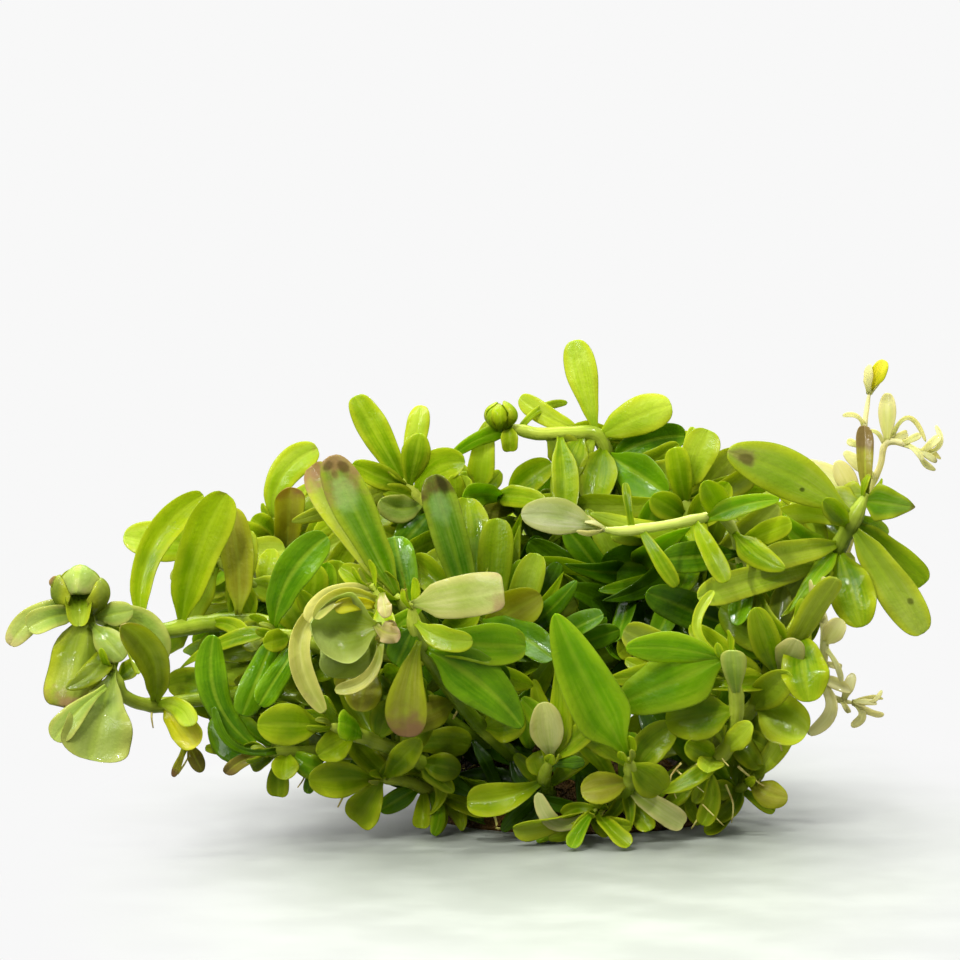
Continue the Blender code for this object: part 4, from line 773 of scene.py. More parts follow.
markNames = ("leafAlong", "leafAcross", "leafSeed", "leafScorchAndStemShade", "leafShade")
shade = {
    "along": (0.1, 0.5, 0.9),  # the places of a leaf where it is measured
    "start": 0.55, "far": 14.0, "low": 0.5, "stemExtra": 0.4, "hollow": 0.8, "hollowFrom": -9.6, "clear": 0.3,
    "poolFrom": -13.0, "poolTo": 7.0, "poolEdge": (1.25, 0.55),
    # painted shade and painted light over parts of the front: across, up, half the width and height, how much
    # darker (below zero, lighter)
    "pools": (
        (-4.0, 15.8, 7.5, 5.5, 0.6), (0.8, 21.8, 3.8, 3.2, 0.5), (-10.6, 10.4, 2.8, 3.6, 0.35),
        (2.6, 14.6, 4.0, 2.4, 0.35), (7.6, 17.0, 2.4, 2.0, 0.3), (-2.6, 11.0, 1.8, 1.8, 0.5),
        (-20.5, 11.8, 4.5, 3.0, 0.3), (11.8, 6.4, 4.2, 6.0, -0.6), (-6.0, 2.8, 14.0, 4.6, -0.7),
        (3.5, 2.0, 6.0, 4.0, -0.5),
    ),
    "sky": ((5, 58, 0.9), (7, 28, 0.6), (5, 2, 0.35)),  # how many ways, how steep in degrees, their weight
}
skyWays = [(Vector((0, 0, 1)), 1.0)]
for count, rise, weight in shade["sky"]:
    flat, steep = math.cos(math.radians(rise)), math.sin(math.radians(rise))
    for number in range(count):
        heading = 2 * math.pi * (number + 0.25) / count
        skyWays.append((Vector((flat * math.cos(heading), flat * math.sin(heading), steep)), weight))


def addObject(name, data):
    made = bpy.data.objects.new(name, data)
    bpy.context.scene.collection.objects.link(made)
    return made


class Growth:  # gathers one piece, with the marks that its materials read
    def __init__(self, crowd=None):
        self.verts, self.faces, self.looks, self.marks = [], [], [], []
        self.crowd = crowd

    def shadeAt(self, point):  # how much of the sky the other leaves hide there
        hidden, whole = 0.0, 0.0
        for way, weight in skyWays:
            whole += weight
            if self.crowd.tree.ray_cast(point + way * shade["start"], way, shade["far"])[0] is not None:
                hidden += weight
        dim = smoothStep(shade["low"], 1.0, hidden / whole)
        across, up = asSeen(point)
        if point.y > shade["hollowFrom"] and inHollow(across, up):
            return max(dim, shade["hollow"])
        if shade["poolFrom"] < point.y < shade["poolTo"]:
            for x, z, wide, high, more in shade["pools"]:
                dim += more * smoothStep(*shade["poolEdge"], math.hypot((across - x) / wide, (up - z) / high))
        return min(max(dim, 0.0), 1.0)

    def add(self, verts, faces, look, marks):
        joinForm(self.verts, self.faces, verts, faces)
        self.looks.extend([look] * len(faces))
        self.marks.extend(marks)

    def make(self, name, node, slot):
        mesh = bpy.data.meshes.new(name)
        mesh.from_pydata([vert * mm for vert in self.verts], [], self.faces)
        used = sorted(set(self.looks))
        for look in used:
            mesh.materials.append(finishes[look])
        mesh.polygons.foreach_set("material_index", [used.index(look) for look in self.looks])
        mesh.polygons.foreach_set("use_smooth", [True] * len(self.faces))
        for index, mark in enumerate(markNames):
            layer = mesh.attributes.new(mark, "FLOAT", "POINT")
            layer.data.foreach_set("value", [marks[index] for marks in self.marks])
        mesh.validate()
        piece = addObject(name, mesh)
        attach(piece, "root")
        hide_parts(node)


bladeShape = {
    "sturdyGrid": (24, 14), "grid": (15, 10), "narrowGrid": (13, 8),  # rows, and columns on either face
    "rowsToTip": 1.45,     # how much closer the rows stand near the tip
    "thick": 0.16,         # mm at the midrib of a wide blade
    "thinnest": 0.55, "thickPerWide": 0.22, "tipThin": 0.45, "thinFrom": 0.6,
    "edgePower": 6,
    "groove": 0.022,       # depth of the midrib's groove, mm
    "keel": 0.07,          # how far the midrib stands out behind, mm
    "ribWidth": 0.15, "ribEnds": (0.75, 0.98),
    "fold": (0.04, 0.42), "foldPower": 1.3,
    "cup": (-0.28, 0.24), "level": 0.35,
    "twist": 26.0, "twistFrom": 0.35,  # degrees to either side, and the place that keeps its direction
    "ripple": (0.02, 0.14), "waves": (1.4, 2.6), "sideLag": 1.7,
    "uneven": 0.11, "unevenSize": 3.1, "unevenShift": 60,
    "footRun": 0.28,
}


def fineLeaf(growth, plan, foot, tip, draw):
    rows, columns = bladeShape["sturdyGrid" if plan["sturdy"] else "grid"]
    if plan["wide"] < plainBlade["narrow"]:
        rows, columns = bladeShape["narrowGrid"]
    seed = draw.random()
    fold = plan.get("fold", draw.uniform(*bladeShape["fold"]))
    cup = plan.get("cup", draw.uniform(*bladeShape["cup"]))
    twist = math.radians(plan.get("twist", draw.uniform(-bladeShape["twist"], bladeShape["twist"])))
    ripple = plan.get("ripple", draw.uniform(*bladeShape["ripple"]))
    waves = draw.uniform(*bladeShape["waves"])
    phase = draw.uniform(0, 2 * math.pi)
    scorch = plan.get("scorch", 0.0)
    thick = bladeShape["thick"] * min(1.0, bladeShape["thinnest"] + plan["wide"] * bladeShape["thickPerWide"])
    at, towards = leafLine(foot, tip, plan["bow"], plan["arch"], plan.get("facing"))
    # Painted shade along the leaf: the sky that other leaves hide, scaled by shaded, with the plan's dim
    # added.
    shaded = plan.get("shaded", shade["clear"] if plan["look"] == "clear" else 1.0)
    dims = [min(1.0, growth.shadeAt(at(s)) * shaded + plan.get("dim", 0.0)) for s in shade["along"]]
    verts, marks = [], []
    for row in range(rows):
        s = 1 - (1 - row / rows) ** bladeShape["rowsToTip"]
        dim = (dims[0] + (dims[1] - dims[0]) * smoothStep(*shade["along"][:2], s)
               + (dims[2] - dims[1]) * smoothStep(*shade["along"][1:], s))
        turn = math.radians(plan["roll"]) + twist * (s - bladeShape["twistFrom"])
        side, face = leafFrame(at, towards, s, turn)
        spot = Vector((s * bladeShape["unevenSize"], seed * bladeShape["unevenShift"], 0.5))
        rough = 1 + bladeShape["uneven"] * noise.noise(spot)
        reach = plan["wide"] * 0.5 * widthShare(plan.get("fineKind", plan["kind"]), s) * rough
        start = plainBlade["footHalf"]
        reach = start + (reach - start) * smoothStep(0, bladeShape["footRun"], s)
        thin = thick * (1 - bladeShape["tipThin"] * smoothStep(bladeShape["thinFrom"], 1.0, s))
        for step in range(2 * columns):
            v = math.cos(math.pi * step / columns)
            edge = abs(v)
            full = math.sqrt(max(0.0, 1 - edge ** bladeShape["edgePower"]))
            rib = math.exp(-(v / bladeShape["ribWidth"]) ** 2) * (1 - smoothStep(*bladeShape["ribEnds"], s))
            folded = fold * edge ** bladeShape["foldPower"]
            lift = reach * (folded + cup * v * v - (fold + cup) * bladeShape["level"])
            lag = bladeShape["sideLag"] if v > 0 else 0.0
            lift += reach * ripple * v * v * math.sin(2 * math.pi * waves * s + phase + lag)
            if step < columns:
                lift += thin * 0.5 * full - rib * bladeShape["groove"]
            else:
                lift -= thin * 0.5 * full + rib * bladeShape["keel"]
            verts.append(at(s) + side * (v * reach) + face * lift)
            marks.append((s, v, seed, scorch, dim))
    verts.append(at(1.0))
    marks.append((1.0, 0.0, seed, scorch, dims[2]))
    growth.add(verts, closedFaces(rows, 2 * columns, pointed=True), plan["look"], marks)


stemShape = {
    "sides": 12, "steps": 9, "uneven": 0.07, "unevenSize": 1.3, "swell": 0.16, "swellLength": 0.5,
    # dark: how strongly painted shade darkens a stem deep in the clump, through its scorch mark
    "noJoint": 9.0, "taper": 0.8, "dark": 2.4,
    "ending": 1.5, "point": 0.4,  # mm over which the tip narrows, and what is left of its width there
    "young": (("green", 0.0, 1.0), ("green", 180.0, 1.0), ("muted", 95.0, 0.7)), "youngTurn": 20,
    "youngLong": (1.2, 1.8), "youngWide": (0.55, 0.8), "youngOpen": 0.42, "youngFoot": 0.5,
    "youngScorch": 0.3, "youngShape": {"arch": 0.25, "fold": 0.3, "cup": -0.3},
}
core = {"middle": (-3.5, 1.5, 8.5), "reach": (19.0, 11.5, 9.5), "soft": 0.45}  # where little light comes, mm


def coreShare(point):
    far = Vector((point - Vector(core["middle"]))[axis] / core["reach"][axis] for axis in range(3)).length
    return 1 - smoothStep(1 - core["soft"], 1.0, far)


def fineStem(growth, plan, draw):
    line = stemLine(plan, stemShape["steps"])
    joints = [grown["placed"][0] for grown in plan["leaves"] if "placed" in grown]
    seed = draw.random()
    sides = stemShape["sides"]
    verts, faces = tubeForm(line, plan["radius"], plan["radius"] * stemShape["taper"], sides)
    marks = []
    share = shade["clear"] if plan["stem"] == "pale" else 1.0
    shades = [min(1.0, share * growth.shadeAt(point) + shade["stemExtra"] * inHollow(*asSeen(point)))
              for point in line]
    for index, vert in enumerate(verts):
        middle = line[index // sides]
        out = vert - middle
        near = min(((joint - middle).length for joint in joints), default=stemShape["noJoint"])
        wider = 1 + stemShape["swell"] * math.exp(-(near / stemShape["swellLength"]) ** 2)
        wider += stemShape["uneven"] * noise.noise(middle * stemShape["unevenSize"] + out)
        ending = smoothStep(0.0, stemShape["ending"], (middle - line[-1]).length)
        wider *= stemShape["point"] + (1 - stemShape["point"]) * ending
        verts[index] = middle + out * wider
        # The fourth mark is painted shade on the stem: the deeper in the clump, the more of the look's tip
        # colour.
        marks.append((index // sides / (len(line) - 1), math.cos(2 * math.pi * (index % sides) / sides), seed,
                      stemShape["dark"] * coreShare(middle), shades[index // sides]))
    growth.add(verts, faces, plan.get("stemLook", "stem" + plan["stem"].capitalize()), marks)
    if "bud" not in plan:
        youngTip(growth, plan, line, draw)


def youngTip(growth, plan, line, draw):  # the smallest leaves, which end every shoot
    along = (line[-1] - line[-4]).normalized()
    side = along.orthogonal().normalized()
    for look, angle, share in stemShape["young"]:
        out = side.copy()
        turn = draw.uniform(-stemShape["youngTurn"], stemShape["youngTurn"])
        out.rotate(Quaternion(along, math.radians(angle + turn)))
        way = (along + out * stemShape["youngOpen"] * share).normalized()
        tip = line[-1] + way * draw.uniform(*stemShape["youngLong"]) * share
        if plan["stem"] == "pale":
            look = "clear"
        young = looseLeaf(
            draw.uniform(*stemShape["youngWide"]) * share, "oval", large=1, look=look, facing=out,
            scorch=stemShape["youngScorch"] * draw.random(), **stemShape["youngShape"])
        fineLeaf(growth, young, line[-1] - along * stemShape["youngFoot"], tip, draw)


budShape = {
    "rings": ((-0.8, 0.55), (-0.1, 1.0), (0.6, 0.7)), "sides": 6,  # the plain bud: height and width in radii
    "leaves": 6, "wide": 1.35, "outward": 0.85, "height": 0.95, "turns": 0.382, "turnVary": 0.04,
    "smaller": 0.07, "footOut": 0.1, "tipOut": (0.0, 0.35), "scorch": 0.6,
    "shape": {"fold": -0.35, "cup": -0.4},
    # foot, tip, width and arch in radii, the side that the leaf faces, its look and shape
    "hood": (
        ((0.1, 0.75, -0.6), (-0.05, -1.0, -0.05), 2.15, 1.0, (0, 0, 1), "misty",
         {"cup": -0.75, "fold": -0.2, "twist": 6, "scorch": 0.2}),
        ((-0.15, 0.5, -1.2), (-0.72, -0.5, 0.62), 1.7, 0.45, (-1, -0.35, 0), "muted",
         {"cup": -0.55, "fold": -0.15, "twist": 0, "scorch": 0.3}),
        ((0.15, 0.5, -1.2), (0.78, -0.5, 0.5), 1.7, 0.45, (1, -0.35, 0), "muted",
         {"cup": -0.55, "fold": -0.15, "twist": 0, "scorch": 0.2}),
        ((0.0, 0.3, 0.1), (0.03, -0.85, -1.35), 1.15, 0.35, (0, -1, 0.5), "lime",
         {"cup": 0.75, "fold": 0.2, "twist": 0}),
        ((0.0, 0.5, -1.1), (0.0, 0.3, 0.9), 1.9, 0.1, (0, -1, 0), "muted",
         {"cup": 0.5, "fold": 0.1, "twist": 0}),
        ((-0.75, -0.2, 0.1), (-1.12, -0.5, 0.55), 0.5, 0.1, (0, -1, 0.3), "muted", {"scorch": 0.9}),
    ),
}


def budForm(radius, across, up, back):
    centre = seen(across, up, back)
    sides = budShape["sides"]
    angles = [2 * math.pi * side / sides for side in range(sides)]
    verts = [centre + Vector((math.cos(angle) * share, math.sin(angle) * share, height)) * radius
             for height, share in budShape["rings"] for angle in angles]
    return verts, closedFaces(len(budShape["rings"]), sides)


def fineHood(growth, draw, radius, across, up, back):  # two young leaves that arch over smaller ones
    centre = seen(across, up, back)
    for foot, tip, wide, arch, facing, look, shape in budShape["hood"]:
        plan = looseLeaf(radius * wide, "oval", arch=radius * arch, large=1, look=look, facing=Vector(facing),
                         **shape)
        fineLeaf(growth, plan, centre + Vector(foot) * radius, centre + Vector(tip) * radius, draw)


def fineBud(growth, draw, radius, across, up, back):  # young leaves that still wrap round each other
    centre = seen(across, up, back)
    for index in range(budShape["leaves"]):
        vary = draw.uniform(-budShape["turnVary"], budShape["turnVary"])
        angle = 2 * math.pi * (index * budShape["turns"] + vary)
        out = Vector((math.cos(angle), math.sin(angle), 0))
        share = 1 - budShape["smaller"] * index
        foot = centre - Vector((0, 0, radius * budShape["height"])) + out * radius * budShape["footOut"]
        rise = Vector((0, 0, radius * budShape["height"] * share))
        tip = centre + rise + out * radius * draw.uniform(*budShape["tipOut"])
        plan = looseLeaf(radius * budShape["wide"] * share, "oval", arch=radius * budShape["outward"] * share,
                         large=1, facing=out, scorch=budShape["scorch"] * draw.random(), **budShape["shape"])
        fineLeaf(growth, plan, foot, tip, draw)


innerLeaves = {
    "seed": 31, "spacing": 1.15, "length": (4.2, 6.8), "turnVary": 0.7, "onward": (0.1, 0.8),
    "thinStem": 0.35,
    "wide": (1.6, 2.4), "kinds": ("oval", "spoon"), "bow": (-0.5, 0.5), "arch": (-0.3, 0.7),
    "roll": (-60, 60),
    "gap": 0.1, "tries": 3, "darkShare": 0.85, "outside": 0.2, "brightFrom": 15.0,
    "ahead": 60.0, "hideAlong": (0.35, 0.6, 0.8, 1.0), "hideAside": (-0.4, 0.4),
    "looks": ("green", "deep", "vivid", "deep", "muted", "lime"),
}


def lookOf(looks, middle, draw):  # the deeper in the clump, the darker: painted shade
    depth = coreShare(middle)
    if draw.random() < depth * innerLeaves["darkShare"]:
        return draw.choice(("core", "core", "deep"))
    look = draw.choice(looks)
    if look == "deep" and depth < innerLeaves["outside"]:
        return "lime" if middle.z > innerLeaves["brightFrom"] else "green"
    return look


def pointsOver(plan, foot, tip, places, asides):  # points that are spread over a leaf
    at, _ = leafLine(foot, tip, plan["bow"], plan["arch"])
    return [at(s) + Vector((plan["wide"] * aside, 0, 0)) for s in places for aside in asides]


def coversPlanned(point, planned):  # would it hide a leaf that the front view shows?
    away = (point - view["eye"]).normalized()
    return planned.ray_cast(point, away, innerLeaves["ahead"])[0] is not None


def plannedTree(shoots):
    verts, faces = [], []
    for plan in shoots:
        for grown in plan["leaves"]:
            if "placed" in grown and "tipPoint" not in grown:
                joinForm(verts, faces, *plainLeaf(grown, *grown["placed"]))
    return BVHTree.FromPolygons(verts, faces)


def growInside(shoots, space):  # small leaves down each stem, where there is room behind the others
    draw = random.Random(innerLeaves["seed"])
    planned = plannedTree(shoots)
    for plan in shoots:
        if plan["stem"] == "pale" or plan["radius"] < innerLeaves["thinStem"]:
            continue
        owner = plan["node"] + "_inner"
        line = stemLine(plan, plainStem["steps"])
        for place, along, side, other, turn in crossedPairs(line, innerLeaves["spacing"], 0.0, draw):
            for attempt in range(innerLeaves["tries"]):
                angle = turn + draw.uniform(-innerLeaves["turnVary"], innerLeaves["turnVary"])
                out = side * math.cos(angle) + other * math.sin(angle)
                length = draw.uniform(*innerLeaves["length"])
                tip = place + (out + along * draw.uniform(*innerLeaves["onward"])).normalized() * length
                small = drawnLeaf(innerLeaves, draw)
                small["look"] = lookOf(innerLeaves["looks"], (place + tip) * 0.5, draw)
                if not insideBody(*asSeen(tip)) or not insideBox(tip):
                    continue
                points = pointsOver(small, place, tip, innerLeaves["hideAlong"], innerLeaves["hideAside"])
                if any(coversPlanned(point, planned) for point in points):
                    continue
                found = roomFor(small, place, tip, space, (plan["node"], owner), innerLeaves["gap"])
                if found:
                    space.add(owner, *found)
                    small["placed"] = (place, tip)
                    plan["inner"].append(small)
                    break
    print("inner leaves:", sum(len(plan["inner"]) for plan in shoots))


# Leaves that close the gaps of the dense body, first as seen from the front and then from round about

gapFill = {
    "seed": 17, "step": 0.8, "reachLows": (3.4, 1.2), "reachHigh": 6.8, "reachVary": 2.5, "beyond": 1.1,
    "wide": (1.35, 2.3), "kinds": ("spoon", "strap", "oval", "blade", "pointed"),
    "bow": (-0.6, 0.6), "arch": (-0.2, 0.7), "roll": (-35, 35),
    "feet": 40, "depths": (-0.5, -1.6, 0.6, -2.8, 1.7, -4.0, 2.9, -5.2),
    "thick": 0.3, "stations": (0.3, 0.6, 0.88), "renewAfter": 24, "jitter": 0.3,
    "mayHide": 1, "hideAlong": (0.45, 0.7, 0.95), "hideAside": (-0.35, 0.35),
    "gapAlong": (0.3, 0.55, 0.8, 1.0), "gapAside": (-0.5, 0.0, 0.5),
    "rootWindows": ((-1.4, 1.7, 0.9), (7.2, 3.0, 0.9), (3.4, -0.9, 0.8), (-8.6, 7.2, 0.7)),
    "hollows": (  # across, up, and half the width and height
        (-8.6, 6.8, 1.9, 1.6), (-6.4, 3.2, 3.0, 2.4), (-3.0, 1.8, 2.2, 1.8), (-1.0, 2.0, 1.8, 1.5),
        (4.6, 5.4, 1.6, 1.6), (1.2, 5.2, 1.2, 1.2),
    ),
    "hollowDepth": -8.5, "wallMiddle": (-1.0, 9.0), "wallReach": (19.0, 14.0), "wallFront": -5.5,
    "wallCurve": 8.5, "ahead": 0.6, "longest": 8.5,
    "lowFrom": 1.5, "lowTo": 5.5, "lowShare": 0.62, "lowLength": 0.5,  # leaves near the ground are smaller
    "looks": ("green", "deep", "vivid", "deep", "green", "muted", "green"),
    "leftmost": -26.5, "footSteps": 8, "frontLow": (-28.0, -1.8), "frontHigh": (18.0, 26.0),
    "aroundStep": 1.5, "enclosed": 3.0, "middle": (-4.0, 1.0, 12.0), "aroundHalf": (32.0, 18.0, 20.0),
    "aroundEyes": ((260, 0, 25), (-260, 0, 25), (0, 260, 30), (180, 190, 30), (-180, 190, 30), (10, 0, 300)),
}


class Crowd:  # everything that stands in the way, and the newest leaves beside it
    def __init__(self, space):
        self.verts, self.faces = [], []
        for covered, verts, faces in sorted(space.forms, key=lambda form: not form[0]):
            joinForm(self.verts, self.faces, verts, faces)
            if covered:
                self.coveredFaces = len(self.faces)
        self.rebuild()

    def rebuild(self):
        self.tree = BVHTree.FromPolygons(self.verts, self.faces)
        self.leafTree = BVHTree.FromPolygons(self.verts, self.faces[self.coveredFaces:])
        self.fresh = []

    def add(self, verts, faces):
        joinForm(self.verts, self.faces, verts, faces)
        self.fresh.append(BVHTree.FromPolygons(verts, faces))
        if len(self.fresh) > gapFill["renewAfter"]:
            self.rebuild()

    def firstLeaf(self, start, way):  # the nearest leaf along a line of sight
        hits = [tree.ray_cast(start, way)[0] for tree in (self.leafTree, *self.fresh)]
        found = (hit for hit in hits if hit is not None)
        return min(found, key=lambda hit: (hit - start).length, default=None)

    def hides(self, start, way):
        return any(tree.ray_cast(start, way)[0] is not None for tree in (self.tree, *self.fresh))

    def isFree(self, verts, faces):
        form = BVHTree.FromPolygons(verts, faces)
        return not any(form.overlap(tree) for tree in (self.tree, *self.fresh))


class Outlook:  # how the clump is seen from one place
    def __init__(self, eye, middle):
        self.eye, self.middle = Vector(eye), Vector(middle)
        self.onward = (self.middle - self.eye).normalized()
        self.far = (self.middle - self.eye).length
        upright = Vector((0, 1, 0)) if abs(self.onward.z) > 0.9 else Vector((0, 0, 1))
        self.right = self.onward.cross(upright).normalized()
        self.up = self.right.cross(self.onward)

    def spot(self, point):
        ray = point - self.eye
        onPlane = self.eye + ray * (self.far / ray.dot(self.onward)) - self.middle
        return onPlane.dot(self.right), onPlane.dot(self.up)

    def place(self, across, up, depth):
        ray = self.middle + self.right * across + self.up * up - self.eye
        return self.eye + ray * ((self.far + depth) / ray.dot(self.onward))

    def depth(self, point):
        return (point - self.middle).dot(self.onward)


def thinForm(plan, foot, tip):  # the leaf without its foot, which lies in its stem
    at, towards = leafLine(foot, tip, plan["bow"], plan["arch"])
    verts = []
    for s in gapFill["stations"]:
        side, face = leafFrame(at, towards, s, math.radians(plan["roll"]))
        half = plan["wide"] * 0.5 * widthShare(plan["kind"], s)
        thick = face * gapFill["thick"] * 0.5
        verts.extend(at(s) + corner for corner in (side * half, thick, side * -half, -thick))
    verts.append(at(1.0))
    return verts, closedFaces(len(gapFill["stations"]), 4, pointed=True)


def leafFits(small, foot, tip, crowd, planned):
    if not keepsGaps(small, foot, tip):
        return False
    verts, faces = thinForm(small, foot, tip)
    if min(vert.z for vert in verts) < clear["surface"] or not crowd.isFree(verts, faces):
        return False
    points = pointsOver(small, foot, tip, gapFill["hideAlong"], gapFill["hideAside"])
    return sum(coversPlanned(point, planned) for point in points) <= gapFill["mayHide"]


def fillSpot(outlook, across, up, feet, crowd, planned, draw, reachLow, before=None):
    near = []
    for foot, spot, plan in feet:
        away = math.hypot(spot[0] - across, spot[1] - up)
        if reachLow < away < gapFill["reachHigh"]:
            near.append((away + draw.uniform(0, gapFill["reachVary"]), away, foot, spot, plan))
    near.sort(key=lambda entry: entry[0])
    for _, away, foot, spot, plan in near[:gapFill["feet"]]:
        beyond = 1 + gapFill["beyond"] / away
        endAcross = spot[0] + (across - spot[0]) * beyond
        endUp = spot[1] + (up - spot[1]) * beyond
        low = smoothStep(gapFill["lowTo"], gapFill["lowFrom"], up + outlook.middle.z)
        middle = outlook.place((spot[0] + across) * 0.5, (spot[1] + up) * 0.5, outlook.depth(foot))
        small = drawnLeaf(gapFill, draw, 1 - low * (1 - gapFill["lowShare"]))
        # In the hollows a leaf takes the darkest look, as painted shade.
        small["look"] = "core" if inHollow(*asSeen(middle)) else lookOf(gapFill["looks"], middle, draw)
        longest = gapFill["longest"] * (1 - gapFill["lowLength"] * low)
        for depth in gapFill["depths"]:
            tip = outlook.place(endAcross, endUp, outlook.depth(foot) + depth)
            if not insideBody(*asSeen(tip)) or not insideBox(tip) or (tip - foot).length > longest:
                continue
            if before is not None and (foot + tip).y * 0.5 > before:
                continue
            if leafFits(small, foot, tip, crowd, planned):
                crowd.add(*thinForm(small, foot, tip))
                small["placed"] = (foot, tip)
                plan["inner"].append(small)
                return True
    return False


def inHollow(across, up):
    return any(
        math.hypot((across - x) / wide, (up - z) / high) < 1 for x, z, wide, high in gapFill["hollows"])


def keepsGaps(plan, foot, tip):  # leaves the open gaps and, near the ground, the dark hollow free
    for point in pointsOver(plan, foot, tip, gapFill["gapAlong"], gapFill["gapAside"]):
        across, up = asSeen(point)
        if any(math.hypot(across - x, up - z) < wide for x, z, wide in body["gaps"]):
            return False
        if point.y < gapFill["hollowDepth"] and inHollow(across, up):
            return False
    return True


def gridOf(lows, highs, step, draw):
    spots = []
    jitter = gapFill["jitter"]
    across = lows[0]
    while across < highs[0]:
        up = lows[1]
        while up < highs[1]:
            spots.append((
                across + draw.uniform(-jitter, jitter) * step, up + draw.uniform(-jitter, jitter) * step))
            up += step
        across += step
    draw.shuffle(spots)
    return spots


def wallDepth(across, up):  # how far back the leaves that show may stand
    x, z = gapFill["wallMiddle"]
    wide, high = gapFill["wallReach"]
    bowl = (across - x) ** 2 / wide ** 2 + (up - z) ** 2 / high ** 2
    return gapFill["wallFront"] + gapFill["wallCurve"] * bowl


def fillFront(stems, crowd, planned, draw, deep):
    outlook = Outlook(view["eye"], (view["eye"].x, 0, view["eye"].z))
    feet = [(point, outlook.spot(point), plan) for point, plan in stems]
    filled, left = 0, 0
    for across, up in gridOf(gapFill["frontLow"], gapFill["frontHigh"], gapFill["step"], draw):
        if not insideBody(across, up):
            continue
        if any(math.hypot(across - x, up - z) < wide for x, z, wide in gapFill["rootWindows"]):
            continue
        point = Vector((across, 0, up))
        hit = crowd.firstLeaf(view["eye"], (point - view["eye"]).normalized())
        if hit is not None and (not deep or hit.y < wallDepth(across, up) or inHollow(across, up)):
            continue
        before = hit.y - gapFill["ahead"] if hit is not None else None
        spot = outlook.spot(point)
        if any(fillSpot(outlook, *spot, feet, crowd, planned, draw, reachLow, before)
               for reachLow in gapFill["reachLows"]):
            filled += 1
        else:
            left += 1
    print("gaps closed from the front:", filled, "left open:", left)


def fillAround(stems, crowd, planned, draw, eye):
    outlook = Outlook(eye, gapFill["middle"])
    feet = [(point, outlook.spot(point), plan) for point, plan in stems]
    wide = gapFill["enclosed"]
    half, low, high = gapFill["aroundHalf"]

    def covered(across, up):
        return crowd.hides(outlook.eye, (outlook.place(across, up, 0.0) - outlook.eye).normalized())
    filled = 0
    for across, up in gridOf((-half, -low), (half, high), gapFill["aroundStep"], draw):
        sides = ((across - wide, up), (across + wide, up), (across, up + wide), (across, up - wide))
        if covered(across, up) or not all(covered(*side) for side in sides):
            continue
        filled += any(fillSpot(outlook, across, up, feet, crowd, planned, draw, reachLow)
                      for reachLow in gapFill["reachLows"])
    print("gaps closed from", eye, filled)


def fillGaps(shoots, space):
    draw = random.Random(gapFill["seed"])
    crowd = Crowd(space)
    planned = plannedTree(shoots)
    stems = [(point, plan) for plan in shoots if plan["stem"] == "green"
             for point in stemLine(plan, gapFill["footSteps"])[2:-1] if point.x > gapFill["leftmost"]]
    for deep in (False, True, True):  # first the open gaps, then the deep ones
        fillFront(stems, crowd, planned, draw, deep)
    for eye in gapFill["aroundEyes"]:
        fillAround(stems, crowd, planned, draw, eye)
    crowd.rebuild()
    return crowd


# The lump of roots

rootMass = {
    "width": 19.0, "depth": 15.0, "height": 5.2, "centre": (-1.0, 1.5), "seed": 3,
    "sides": 14, "rings": ((0.0, 0.94), (0.32, 1.0), (0.66, 0.86), (0.9, 0.55)), "vary": (0.88, 1.06),
    "fineSides": 72, "fineRings": 26, "flank": 0.62, "sunk": 0.25, "rim": 0.12, "rimShare": 0.25,
    "lumps": 0.55, "lumpSize": 0.42, "grain": 0.16, "grainSize": 1.9,
}
strands = {  # fine roots that wander over the lump
    "count": 230, "radius": 0.13, "vary": (0.5, 1.2), "steps": 11, "smooth": 2, "sides": 5, "taper": 0.4,
    "paleShare": 0.12, "rise": (0.02, 0.95), "lowest": 0.02, "highest": 0.98,
    "turn": (-0.07, 0.07), "climb": (-0.06, 0.06), "wander": (-0.03, 0.03), "out": (-0.02, 0.12),
}
hairRoots = {  # white roots that hang from the lower stems, read from the front view: start, bend, end
    "radius": 0.09, "vary": (0.75, 1.2), "sides": 6, "steps": 5, "taper": 0.45,
    "routes": (
        [(5.5, 3.2, -8.4), (6.4, 2.5, -8.8), (7.4, 1.7, -9.0)],
        [(7.1, 4.2, -8.8), (6.9, 3.2, -9.0), (7.1, 2.2, -9.0)],
        [(8.7, 4.3, -8.9), (8.6, 3.9, -9.2), (9.0, 3.4, -9.3)],
        [(9.6, 3.4, -6.4), (10.4, 2.7, -6.6), (11.3, 2.1, -6.8)],
        [(5.9, 3.6, -8.6), (5.2, 2.6, -9.0), (5.6, 1.3, -8.6)],
        [(6.6, 1.6, -8.0), (7.6, 0.6, -8.2), (8.7, -0.5, -7.6)],
        [(7.4, 1.9, -8.0), (7.2, 0.4, -8.0), (6.6, -0.7, -7.2)],
        [(8.8, 2.2, -7.0), (9.3, 0.9, -7.2), (9.2, -0.3, -6.4)],
        [(-8.7, 8.3, -10.4), (-8.5, 7.4, -10.2), (-8.9, 6.5, -10.0)],
        [(-26.8, 2.9, -9.0), (-26.3, 3.6, -9.0), (-25.9, 4.4, -9.0)],
        [(-28.4, 7.2, -9.2), (-28.45, 6.6, -9.4), (-28.35, 5.9, -9.4)],
        [(-18.5, 3.2, -9.0), (-18.6, 2.6, -9.2), (-19.0, 2.0, -9.2)],
        [(-15.9, 1.9, -9.0), (-16.1, 1.3, -9.0), (-16.4, 0.7, -9.0)],
        [(-2.1, 25.0, 2.7), (-2.0, 24.2, 2.7), (-1.7, 23.5, 2.7)],
        [(12.1, 5.3, -6.6), (12.3, 4.9, -6.7), (12.45, 4.4, -6.7)],
    ),
}


